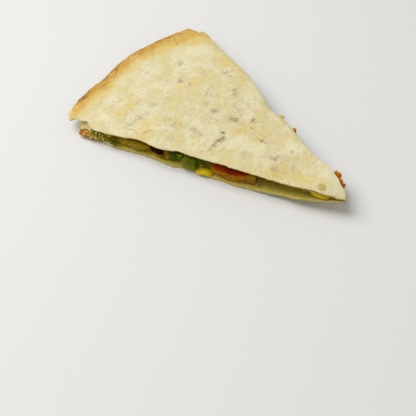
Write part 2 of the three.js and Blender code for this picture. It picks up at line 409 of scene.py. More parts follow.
@dataclass(frozen=True)
class Wave:
    """One stray of the knife or swell of the surface.

    Attributes:
        start: distance of its middle from the tip.
        reach: how far it spreads.
        size: how far it goes outwards or upwards.
        across: its sideways place, from -1 at the front cut to 1 at the back.
    """

    start: float
    reach: float
    size: float
    across: float = 0.0

    def rise(self, distance: Array | float) -> Array:
        """Its height at a distance from the tip, a bell curve about its middle."""
        return self.size * bell(distance, self.start, self.reach)


def waves(*rows: tuple[float, ...]) -> tuple[Wave, ...]:
    """One wave for each row of its start, reach, size and place across."""
    return tuple(Wave(*row) for row in rows)


@dataclass(frozen=True)
class Wedge:
    """Plan and heights of the wedge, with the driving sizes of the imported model."""

    round_radius: float = 151.5
    half_angle: float = math.radians(19.3)
    rim_offset: float = 8.4
    tip_rounding: float = 4.8
    tip_aside: float = 1.3
    tip_aside_reach: float = 5.0
    thickness: float = 1.6
    crown_height: float = 12.3
    tip_fall: float = 1.5
    tip_fall_run: float = 0.08
    rim_fall: float = 5.1
    rim_fall_start: float = 0.5
    rim_fall_power: float = 1.3
    tip_lift: float = 7.2
    tip_lift_run: float = 0.36
    tip_lift_power: float = 1.45
    rim_curl: float = 1.4
    rim_curl_start: float = 0.93
    corner_setback: float = 8.0
    corner_reach: float = 0.7
    wave_height: float = 0.35
    wave_fade: float = 4.0
    lower_waves: float = 0.6
    swells: tuple[Wave, ...] = waves(
        (13, 7, 1.4, -0.2), (27, 9, -0.8, 0.1), (58, 12, 0.4, -0.75), (96, 14, 0.5, 0.5),
    )
    front_waves: tuple[Wave, ...] = waves(
        (6.5, 7, -1.7), (27, 19, -0.9), (84, 5.5, -1.1), (94, 5, 1.1), (109, 7, -0.95),
        (148, 9, -5.2),
    )
    back_waves: tuple[Wave, ...] = waves(
        (0, 5, -1.0), (12.5, 9, 2.2), (35, 6, -0.5), (67, 8.5, -2.4), (98, 14, 1.4), (139, 7, 1.0),
    )

    def run(self, side: Side) -> Array:
        """Unit vector in plan along a cut, away from the tip."""
        return np.array([-math.cos(self.half_angle), side.value * math.sin(self.half_angle)])

    def out(self, side: Side) -> Array:
        """Unit vector in plan out of a cut."""
        return np.array([math.sin(self.half_angle), side.value * math.cos(self.half_angle)])

    def cut_start(self, side: Side) -> Array:
        """Where a cut leaves the rounded tip."""
        turn = math.pi / 2 - self.half_angle
        return self.tip_rounding * np.array([math.cos(turn) - 1, side.value * math.sin(turn)])

    def rim_angle(self, side: Side) -> float:
        """Angle about the round's middle at which a cut meets the rim.

        The cut's straight line is carried from the tip until it crosses the circle.

        Args:
            side: the cut.

        Returns:
            The angle in radians, positive towards the back.
        """
        start = self.cut_start(side) - np.array([0.0, self.rim_offset])
        half = float(start @ self.run(side))
        length = -half + math.sqrt(half * half - float(start @ start) + self.round_radius**2)
        end = start + length * self.run(side)
        return math.atan2(end[1], -end[0])

    def cut_wave(self, side: Side, distance: Array | float) -> Array:
        """How far outwards the knife strayed at a distance from the tip."""
        waves = self.front_waves if side is Side.FRONT else self.back_waves
        return sum(wave.rise(distance) for wave in waves)

    def plan(
        self, along: Array, across: Array, setback: Array | float = 0.0, waviness: float = 1.0
    ) -> Array:
        """Plan points of the wedge.

        A line from the rounded tip to the rim carries along, and the turn about the tip and
        about the round's middle carries across. The knife's strays push the cuts out.

        Args:
            along: 0 at the tip to 1 at the rim.
            across: -1 at the front cut to 1 at the back cut.
            setback: by how much the radius is shortened.
            waviness: share of the knife's strays that shows.

        Returns:
            x and y for each point, in a last axis of two.
        """
        tip_turn = across * (math.pi / 2 - self.half_angle)
        first, last = self.rim_angle(Side.FRONT), self.rim_angle(Side.BACK)
        rim_turn = first + (last - first) * (across + 1) / 2
        radius = self.round_radius - setback
        tip = self.tip_rounding * np.stack([np.cos(tip_turn) - 1, np.sin(tip_turn)], axis=-1)
        rim_x, rim_y = -radius * np.cos(rim_turn), self.rim_offset + radius * np.sin(rim_turn)
        rim = np.stack([rim_x, rim_y], axis=-1)
        spot = tip + (rim - tip) * along[..., None]
        distance = along * self.round_radius
        front = across < 0
        wave = np.where(front, *[self.cut_wave(side, distance) for side in Side])
        out = np.where(front[..., None], self.out(Side.FRONT), self.out(Side.BACK))
        spot = spot + out * (waviness * wave * np.abs(across) ** self.wave_fade)[..., None]
        aside = self.tip_aside * bell(distance, 0, self.tip_aside_reach)
        return spot + np.stack([np.zeros_like(aside), aside], axis=-1)

    def crown(self, along: Array, across: Array) -> Array:
        """Height of the top of the upper tortilla.

        It is level, falls to the tip by an exponential and to the rim by a power, and carries
        the product of two slanting sine waves and the bell curves of its swells.

        Args:
            along: 0 at the tip to 1 at the rim.
            across: -1 at the front cut to 1 at the back cut.

        Returns:
            One height for each place.
        """
        tip_fall = self.tip_fall * np.exp(-along / self.tip_fall_run)
        rim_fall = self.rim_fall * ramp(along, self.rim_fall_start, 1) ** self.rim_fall_power
        cross_waves = np.sin(13 * along + 2 * across) * np.sin(8 * along - 3 * across)
        waves = self.wave_height * cross_waves * ramp(along, 0, 0.2)
        distance = along * self.round_radius
        swells = sum(swell.rise(distance) * bell(across, swell.across, 1) for swell in self.swells)
        return self.crown_height - tip_fall - rim_fall + waves + swells

    def ceiling(self, along: Array, across: Array) -> Array:
        """Underside of the upper tortilla."""
        return self.crown(along, across) - self.thickness

    def underside(self, along: Array) -> Array:
        """Bottom of the lower tortilla: flat, curled up to the tip and at the rim."""
        lift = self.tip_lift * np.maximum(0, 1 - along / self.tip_lift_run) ** self.tip_lift_power
        return lift + self.rim_curl * ramp(along, self.rim_curl_start, 1) ** 2

    def floor(self, along: Array) -> Array:
        """Top of the lower tortilla."""
        return self.underside(along) + self.thickness

    def at_cut(self, side: Side, distance: Array, depth: Array) -> Array:
        """Plan points beside a cut: its start, a way along it and its stray less the depth out.

        Args:
            side: the cut.
            distance: how far from the tip.
            depth: how far behind the cut.

        Returns:
            x and y of each point.
        """
        distance = np.asarray(distance, float)
        stray = (self.cut_wave(side, distance) - depth)[..., None]
        return self.cut_start(side) + distance[..., None] * self.run(side) + stray * self.out(side)

    def locate(self, points: Array) -> tuple[Array, Array]:
        """Shares along and across of plan points, taken from their distance and bearing.

        along is the distance from the tip over the radius, and across the distance from the
        middle line over half the width there.

        Args:
            points: places, whose x and y are read.

        Returns:
            along and across of each place.
        """
        along = np.clip(np.hypot(points[..., 0], points[..., 1]) / self.round_radius, 0, 1)
        width = self.tip_rounding + along * self.round_radius * math.sin(self.half_angle)
        across = np.clip(points[..., 1] / width, -1, 1)
        return along, across

    def place(self, points: Array) -> Array:
        """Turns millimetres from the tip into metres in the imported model's frame.

        The tip is at the high end of the upper tortilla's box along X, and the middle of the
        plan's width is at the middle of that box along Y.

        Args:
            points: places in millimetres, shape (..., 3).

        Returns:
            The same places in metres.
        """
        low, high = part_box("top_tortilla")
        steps = np.linspace(0, 1, 400)
        rim = self.plan(np.ones_like(steps), steps * 2 - 1)[:, 1]
        cuts = [self.plan(steps, np.full_like(steps, side.value))[:, 1] for side in Side]
        width = np.concatenate([rim, *cuts])
        middle = (width.min() + width.max()) / 2
        return points * MM + np.array([high.x, (low.y + high.y) / 2 - middle * MM, 0.0])


WEDGE = Wedge()


# ---------------------------------------------------------------------------------------
# Finishes
# ---------------------------------------------------------------------------------------


class Nodes:
    """Builds one node material, step by step."""

    def __init__(self, name: str) -> None:
        """Starts a material that holds a Principled shader and its output.

        Args:
            name: the material's name.
        """
        self.material = bpy.data.materials.new(name)
        self.material.use_nodes = True
        self.tree = self.material.node_tree
        self.shader = self.tree.nodes["Principled BSDF"]
        self.place = self.tree.nodes.new("ShaderNodeTexCoord").outputs["Object"]

    def link(self, source: Socket, target: Socket) -> None:
        """Joins two sockets."""
        self.tree.links.new(source, target)

    def feed(self, source: Value | Tint, target: Socket) -> None:
        """Joins a socket to the target, or sets a number or colour on it.

        Args:
            source: the socket, number or colour.
            target: the socket that takes it.
        """
        if isinstance(source, Socket):
            self.link(source, target)
        elif isinstance(source, tuple):
            target.default_value = (*source, 1.0)
        else:
            target.default_value = source

    def noise(
        self,
        scale: float,
        detail: float = 3.0,
        stretch: Triple = (1, 1, 1),
        turn: float = 0.0,
        rough: float = 0.5,
    ) -> Socket:
        """A noise value in 0..1.

        Args:
            scale: lumps per metre.
            detail: octaves.
            stretch: factors on the three axes.
            turn: rotation about Z before the stretch.
            rough: strength of the finer octaves.

        Returns:
            The noise's value.
        """
        mapping = self.tree.nodes.new("ShaderNodeMapping")
        mapping.inputs["Scale"].default_value = stretch
        mapping.inputs["Rotation"].default_value = (0.0, 0.0, turn)
        texture = self.tree.nodes.new("ShaderNodeTexNoise")
        texture.inputs["Scale"].default_value = scale
        texture.inputs["Detail"].default_value = detail
        texture.inputs["Roughness"].default_value = rough
        self.link(self.place, mapping.inputs["Vector"])
        self.link(mapping.outputs["Vector"], texture.inputs["Vector"])
        return texture.outputs["Fac"]

    def mask(self, name: str) -> Socket:
        """A number that the mesh carries on its vertices.

        Args:
            name: the mask's name.

        Returns:
            The number.
        """
        attribute = self.tree.nodes.new("ShaderNodeAttribute")
        attribute.attribute_name = name
        return attribute.outputs["Fac"]

    def step(self, value: Socket, low: float, high: float) -> Socket:
        """Smooth step of a value.

        Args:
            value: the value.
            low: where the step is 0, which may be the larger of the two.
            high: where it is 1.

        Returns:
            The step's value.
        """
        node = self.tree.nodes.new("ShaderNodeMapRange")
        node.interpolation_type = "SMOOTHSTEP"
        if low < high:
            limits = (low, high, 0.0, 1.0)
        else:
            limits = (high, low, 1.0, 0.0)
        for label, number in zip(("From Min", "From Max", "To Min", "To Max"), limits):
            node.inputs[label].default_value = number
        self.link(value, node.inputs["Value"])
        return node.outputs["Result"]

    def math(self, operation: str, first: Value, second: Value = 0.0) -> Socket:
        """A calculation with two values.

        Args:
            operation: name of the operation.
            first: its first value, a socket or a number.
            second: its second value.

        Returns:
            The result.
        """
        node = self.tree.nodes.new("ShaderNodeMath")
        node.operation = operation
        self.feed(first, node.inputs[0])
        self.feed(second, node.inputs[1])
        return node.outputs["Value"]

    def times(self, first: Value, second: Value) -> Socket:
        """Product of two values."""
        return self.math("MULTIPLY", first, second)

    def plus(self, first: Value, second: Value) -> Socket:
        """Sum of two values."""
        return self.math("ADD", first, second)

    def swing(self, noise: Socket, size: float) -> Socket:
        """A noise value moved to swing about zero, by half the size each way."""
        return self.times(self.math("SUBTRACT", noise, 0.5), size)

    def tones(self, value: Socket, stops: Sequence[tuple[float, Color]]) -> Socket:
        """A colour that runs through the stops as the value rises.

        Args:
            value: the value.
            stops: positions in 0..1 with their colours, in rising order.

        Returns:
            The colour.
        """
        node = self.tree.nodes.new("ShaderNodeValToRGB")
        elements = node.color_ramp.elements
        while len(elements) < len(stops):
            elements.new(1.0)
        for element, (position, color) in zip(elements, stops):
            element.position = position
            element.color = (*color, 1.0)
        self.link(value, node.inputs["Fac"])
        return node.outputs["Color"]

    def blend(self, base: Tint, over: Tint, share: Value) -> Socket:
        """Mixes one colour over another.

        Args:
            base: the colour below.
            over: the colour above.
            share: how much of the upper colour shows.

        Returns:
            The mixed colour.
        """
        node = self.tree.nodes.new("ShaderNodeMix")
        node.data_type = "RGBA"
        node.clamp_factor = True
        for label, value in (("A", base), ("B", over)):
            self.feed(value, next(s for s in node.inputs if (s.name, s.type) == (label, "RGBA")))
        self.feed(share, next(s for s in node.inputs if (s.name, s.type) == ("Factor", "VALUE")))
        return next(s for s in node.outputs if s.type == "RGBA")

    def bump(
        self, height: Socket, distance: float, strength: float, below: Socket | None = None
    ) -> Socket:
        """A bump of a height field, over an earlier one.

        Args:
            height: the field.
            distance: its depth in metres.
            strength: how much of it shows, up to 1.
            below: the earlier bump's normal.

        Returns:
            The bumped normal.
        """
        node = self.tree.nodes.new("ShaderNodeBump")
        node.inputs["Strength"].default_value = strength
        node.inputs["Distance"].default_value = distance
        self.link(height, node.inputs["Height"])
        if below is not None:
            self.link(below, node.inputs["Normal"])
        return node.outputs["Normal"]

    def dress(self, color: Socket, rough: Value, normal: Socket | None = None) -> Material:
        """Joins the finished sockets to the shader.

        Args:
            color: base colour.
            rough: roughness, a socket or a number.
            normal: bumped normal.

        Returns:
            The material.
        """
        self.link(color, self.shader.inputs["Base Color"])
        self.feed(rough, self.shader.inputs["Roughness"])
        if normal is not None:
            self.link(normal, self.shader.inputs["Normal"])
        return self.material


@dataclass(frozen=True)
class TortillaFinish:
    """Dry flour tortilla: cream ground, toasted patches, brown rim and scattered flecks.

    The mesh carries the masks toast, patch, flour, fleck, dot, grease, inner and cut.

    Attributes:
        cream: the bare ground.
        pale: lighter clouds in it.
        flour: places dusted with flour.
        straw: toasted patches.
        dull: the fine mottle.
        stain: grit and the soft stains round flecks.
        fleck: scorched flecks.
        ochre: single dots of salsa.
        crumb_and_painted_shade: the cut faces, their crumb colour darkened by painted shade.
        soaked: the inner side, where the filling has soaked in.
        oily: greasy places.
        browning: tones of the toasted rim, from its inner border to its edge.
    """

    cream: Color = (0.71, 0.62, 0.325)
    pale: Color = (0.76, 0.70, 0.45)
    flour: Color = (0.82, 0.76, 0.50)
    straw: Color = (0.74, 0.58, 0.20)
    dull: Color = (0.54, 0.45, 0.27)
    stain: Color = (0.44, 0.35, 0.235)
    fleck: Color = (0.24, 0.165, 0.095)
    ochre: Color = (0.60, 0.28, 0.03)
    crumb_and_painted_shade: Color = (0.42, 0.33, 0.05)
    soaked: Color = (0.54, 0.42, 0.03)
    oily: Color = (0.46, 0.35, 0.085)
    browning: tuple[tuple[float, Color], ...] = (
        (0.0, (0.74, 0.61, 0.26)),
        (0.3, (0.72, 0.52, 0.16)),
        (0.55, (0.62, 0.40, 0.10)),
        (0.75, (0.54, 0.31, 0.066)),
        (0.92, (0.42, 0.20, 0.036)),
        (1.0, (0.30, 0.12, 0.020)),
    )

    def ground(self, n: Nodes) -> Socket:
        """Cream cloudy with pale flour, straw patches and a dull fine mottle.

        Args:
            n: the material's nodes.

        Returns:
            The colour.
        """
        color = n.blend(self.cream, self.pale, n.step(n.noise(130, 4), 0.42, 0.60))
        dusted = n.plus(n.mask("flour"), n.swing(n.noise(260, 4), 1.1))
        color = n.blend(color, self.flour, n.times(n.step(dusted, 0.1, 1.4), 0.8))
        warmth = n.plus(n.mask("patch"), n.swing(n.noise(480, 4), 1.7))
        warmth = n.plus(warmth, n.swing(n.noise(170, 2), 0.9))
        color = n.blend(color, self.straw, n.times(n.step(warmth, 0.15, 1.75), 0.85))
        mottle = n.step(n.noise(620, 4, (1.0, 0.6, 1.0), 0.3, 0.65), 0.49, 0.68)
        bare = n.step(n.mask("flour"), 1.3, 0.2)
        mottle = n.times(mottle, bare)
        color = n.blend(color, self.dull, n.times(mottle, 0.55))
        grit = n.times(n.step(n.noise(1250, 3, rough=0.65), 0.53, 0.68), bare)
        return n.blend(color, self.stain, n.times(grit, 0.42))

    def flecked(self, n: Nodes, color: Socket) -> Socket:
        """Adds soft grey stains, scorched flecks in clusters, and pinpricks between them.

        Args:
            n: the material's nodes.
            color: the colour so far.

        Returns:
            The colour with the flecks on it.
        """
        marks = n.mask("fleck")
        cluster = n.plus(marks, n.swing(n.noise(210, 3), 1.1))
        smear = n.step(n.noise(560, 4, (1.0, 0.55, 1.0), 0.35, 0.6), 0.45, 0.62)
        veil = n.times(smear, n.step(cluster, 0.2, 1.2))
        color = n.blend(color, self.stain, n.times(veil, 0.7))
        heart = n.plus(marks, n.swing(n.noise(1350, 4, rough=0.7), 7.5))
        color = n.blend(color, self.fleck, n.times(n.step(heart, 1.2, 2.2), 0.74))
        prick = n.step(n.noise(1900, 2, rough=0.5), 0.66, 0.71)
        pricks = n.times(prick, n.step(cluster, -0.35, 0.6))
        color = n.blend(color, self.fleck, n.times(pricks, 0.75))
        return n.blend(color, self.ochre, n.times(n.step(n.mask("dot"), 0.25, 1.0), 0.8))

    def browned(self, n: Nodes, color: Socket) -> Socket:
        """Browns the rim through its tones, unevenly and with darker speckles.

        Args:
            n: the material's nodes.
            color: the colour so far.

        Returns:
            The colour with the rim browned.
        """
        toast = n.mask("toast")
        uneven = n.swing(n.noise(330, 5, rough=0.6), 0.26)
        uneven = n.plus(uneven, n.swing(n.noise(1000, 3), 0.26))
        level = n.plus(toast, n.times(uneven, n.step(toast, 0.0, 0.45)))
        speckle = n.times(n.step(n.noise(1400, 3), 0.52, 0.68), n.step(level, 0.25, 0.6))
        level = n.plus(level, n.times(speckle, 0.3))
        return n.blend(color, n.tones(level, self.browning), n.step(level, 0.0, 0.42))

    def material(self) -> Material:
        """Lays flecks, browning, grease and cut faces darkened by painted shade over the ground.

        Returns:
            The material of both tortillas.
        """
        n = Nodes("toasted_tortilla")
        inner, cut = n.mask("inner"), n.mask("cut")
        color = self.browned(n, self.flecked(n, self.ground(n)))
        color = n.blend(color, self.oily, n.times(n.mask("grease"), 0.75))
        wet = n.times(inner, n.step(n.noise(500, 3), 0.05, 0.6))
        color = n.blend(color, self.soaked, wet)
        # cut faces: crumb colour darkened by painted shade
        color = n.blend(color, self.crumb_and_painted_shade, cut)
        pits = n.bump(n.noise(2300, 3, rough=0.6), 0.0001, 0.7)
        pores = n.bump(n.noise(950, 3), 0.0003, 0.55, pits)
        normal = n.bump(n.noise(330, 2), 0.0005, 0.4, pores)
        n.shader.inputs["Specular IOR Level"].default_value = 0.12
        n.shader.inputs["Subsurface Weight"].default_value = 0.06
        n.shader.inputs["Subsurface Radius"].default_value = (0.0018, 0.0011, 0.0005)
        n.shader.inputs["Subsurface Scale"].default_value = 1.0
        rough = n.math("SUBTRACT", 0.8, n.times(inner, 0.15))
        return n.dress(color, rough, normal)


@dataclass(frozen=True)
class FillingFinish:
    """Melted cheese and salsa: masks add salsa, herbs and painted shade to a cheesy ground."""

    cheese: Color = (0.40, 0.265, 0.003)
    cream: Color = (0.54, 0.40, 0.03)
    sauce: Color = (0.27, 0.14, 0.001)
    salsa: Color = (0.40, 0.11, 0.003)
    herb: Color = (0.13, 0.15, 0.004)
    # colour of the painted shade in the dips and under the upper tortilla
    painted_shade: Color = (0.05, 0.018, 0.002)

    def material(self) -> Material:
        """Ground from sauce to cheese and cream, then salsa, herbs and painted shade by mask.

        Returns:
            The filling's material.
        """
        n = Nodes("cheese_filling")
        fine = n.noise(560, 4)
        color = n.blend(self.sauce, self.cheese, n.step(n.noise(210, 4), 0.38, 0.60))
        color = n.blend(color, self.cream, n.times(n.step(n.noise(360, 4), 0.55, 0.74), 0.7))
        smear = n.plus(n.mask("salsa"), n.swing(fine, 1.0))
        color = n.blend(color, self.salsa, n.step(smear, 0.3, 0.85))
        green = n.plus(n.mask("herb"), n.swing(n.noise(680, 3), 1.2))
        color = n.blend(color, self.herb, n.times(n.step(green, 0.45, 0.95), 0.85))
        # painted shade in the dips, under the upper tortilla and over the herb pit
        color = n.blend(color, self.painted_shade, n.mask("painted_gap_shade"))
        normal = n.bump(n.noise(1000, 4), 0.00035, 0.7)
        n.shader.inputs["Specular IOR Level"].default_value = 0.05
        return n.dress(color, n.plus(0.2, n.times(fine, 0.45)), normal)


@dataclass(frozen=True)
class MoistFinish:
    """A cooked, glossy bit of food: two tones mottled together, with a darker stain.

    Where a bit has its masks, one darkens its top with painted shade and one colours its foot.

    Attributes:
        name: name of the material.
        main: its main colour.
        second: the colour that mottles it.
        stain: darker or browner random patches; at 0.3 strength, the painted shade's colour.
        scale: lumps of the mottling per metre.
        rough: roughness of its wet skin.
        flesh: how much light passes under its skin.
        grain: stretch of the bump on the three axes, for fibres.
        relief: depth of the bump in metres.
        gloss: strength of its reflections.
        foot: colour of its foot, where sauce has run down.
    """

    name: str
    main: Color
    second: Color
    stain: Color
    scale: float = 350.0
    rough: float = 0.28
    flesh: float = 0.1
    grain: Triple = (1.0, 1.0, 1.0)
    relief: float = 0.00015
    gloss: float = 0.035
    foot: Color | None = None

    def material(self) -> Material:
        """Mottles the two tones by noise, stains them, and adds a fine bump and gloss.

        Returns:
            The bit's material.
        """
        n = Nodes(self.name)
        mottle = n.noise(self.scale, 3, self.grain)
        color = n.blend(self.main, self.second, n.step(mottle, 0.35, 0.68))
        low = n.step(n.noise(self.scale * 2.2, 3), 0.54, 0.75)
        color = n.blend(color, self.stain, n.times(low, 0.65))
        if self.foot:
            run = n.plus(n.mask("low"), n.swing(mottle, 1.4))
            color = n.blend(color, self.foot, n.step(run, 0.3, 0.8))
        # painted shade on the top of the bit under the upper tortilla, and over bits deep in the
        # filling
        color = n.blend(color, tuple(0.3 * part for part in self.stain), n.mask("painted_top_shade"))
        normal = n.bump(n.noise(self.scale * 3, 3, self.grain), self.relief, 0.6)
        n.shader.inputs["Subsurface Weight"].default_value = self.flesh
        n.shader.inputs["Subsurface Radius"].default_value = (0.0012, 0.0006, 0.0002)
        n.shader.inputs["Subsurface Scale"].default_value = 1.0
        n.shader.inputs["Specular IOR Level"].default_value = self.gloss
        return n.dress(color, self.rough, normal)


PEPPER = MoistFinish(
    "pepper", (0.11, 0.135, 0.0005), (0.19, 0.21, 0.002), (0.05, 0.055, 0.0005),
    scale=200, rough=0.35, flesh=0.04,
)
CORN = MoistFinish(
    "corn", (0.62, 0.41, 0.001), (0.74, 0.53, 0.006), (0.44, 0.25, 0.001),
    scale=170, rough=0.26, flesh=0.08, gloss=0.06,
)
TOMATO = MoistFinish(
    "tomato", (0.26, 0.016, 0.0005), (0.36, 0.05, 0.001), (0.11, 0.006, 0.0005),
    scale=150, rough=0.3, flesh=0.0, gloss=0.02, foot=(0.36, 0.14, 0.001),
)
ONION = MoistFinish(
    "onion", (0.38, 0.20, 0.003), (0.50, 0.30, 0.02), (0.22, 0.07, 0.001),
    scale=220, rough=0.2, flesh=0.08, gloss=0.08, foot=(0.28, 0.12, 0.001),
)
BEAN = MoistFinish(
    "bean", (0.010, 0.003, 0.0005), (0.022, 0.006, 0.001), (0.005, 0.002, 0.0005),
    scale=200, rough=0.34, flesh=0.0,
)
CHICKEN = MoistFinish(
    "chicken", (0.30, 0.19, 0.001), (0.40, 0.27, 0.008), (0.19, 0.09, 0.001),
    scale=420, rough=0.45, flesh=0.04, grain=(0.3, 1.6, 1.6), relief=0.0003,
)
SAUCED = MoistFinish(
    "sauced_chicken", (0.34, 0.12, 0.001), (0.44, 0.22, 0.004), (0.13, 0.03, 0.0005),
    scale=300, rough=0.22, flesh=0.04, grain=(0.4, 1.4, 1.4), relief=0.0003, gloss=0.08,
)
HERB = MoistFinish(
    "herb", (0.10, 0.125, 0.003), (0.17, 0.19, 0.006), (0.04, 0.05, 0.001),
    scale=500, rough=0.45, flesh=0.0,
)
HERBED = MoistFinish(
    "herbed_cheese", (0.31, 0.25, 0.01), (0.42, 0.36, 0.05), (0.15, 0.13, 0.004),
    scale=500, rough=0.45, flesh=0.0,
)
SALSA = MoistFinish(
    "salsa_bits", (0.52, 0.13, 0.002), (0.66, 0.24, 0.005), (0.28, 0.05, 0.001),
    scale=500, rough=0.3, flesh=0.05,
)
CHEESE = MoistFinish(
    "cheese_crumbs", (0.54, 0.40, 0.06), (0.66, 0.56, 0.20), (0.36, 0.22, 0.01),
    scale=500, rough=0.4, flesh=0.05,
)
SCORCH = MoistFinish(
    "scorched_crack", (0.36, 0.20, 0.05), (0.46, 0.30, 0.10), (0.20, 0.09, 0.02),
    scale=500, rough=0.9, flesh=0.0,
)


# ---------------------------------------------------------------------------------------
# Tortillas
# ---------------------------------------------------------------------------------------


def spread_rows(count: int, crowding: float) -> Array:
    """Shares from 0 to 1 that crowd towards both ends: u - k sin(2 pi u) / (2 pi)."""
    u = np.linspace(0, 1, count)
    return u - crowding * np.sin(2 * math.pi * u) / (2 * math.pi)


def sheet_grid(rows: int, columns: int) -> tuple[Array, Array]:
    """Grids of along and across, crowded towards the tip, the rim and both cuts."""
    return np.meshgrid(spread_rows(rows, 0.5), spread_rows(columns, 0.5) * 2 - 1, indexing="ij")


def raised(plan: Array, height: Array) -> Array:
    """Plan points with their heights, as points."""
    return np.concatenate([plan, height[..., None]], axis=-1)


def lift_plan(plan: Array) -> Array:
    """Plan points as points at height 0, for the random fields."""
    return raised(plan, np.zeros(plan.shape[:-1]))


def radial(plan: Array) -> Array:
    """Unit vectors in plan away from the tip."""
    return plan / np.maximum(np.linalg.norm(plan, axis=-1, keepdims=True), 1.0)


def sideways(across: Array) -> Array:
    """Unit vectors in plan out of the nearer cut."""
    return np.where((across < 0)[..., None], WEDGE.out(Side.FRONT), WEDGE.out(Side.BACK))


def rim_line(along: Array, plan: Array) -> Array:
    """Places for random fields that run along the rim.

    Args:
        along: 0 at the tip to 1 at the rim.
        plan: plan points of the same places.

    Returns:
        Arc length about the round's middle, a depth in from the rim, and 0.
    """
    bearing = np.arctan2(plan[..., 1] - WEDGE.rim_offset, -plan[..., 0])
    return np.stack([bearing * WEDGE.round_radius, along * 30, np.zeros_like(along)], axis=-1)


def spot_sum(plan: Array, spots: Sequence[Wave]) -> Array:
    """Sum of soft round spots.

    Args:
        plan: plan points.
        spots: each spot's distance from the tip, reach, strength and place across.

    Returns:
        One number for each point.
    """
    total = np.zeros(plan.shape[:-1])
    for spot in spots:
        middle = WEDGE.plan(np.array(spot.start / WEDGE.round_radius), np.array(spot.across))
        far = np.linalg.norm(plan - middle, axis=-1)
        total += spot.size * bell(far, 0.0, spot.reach)
    return total


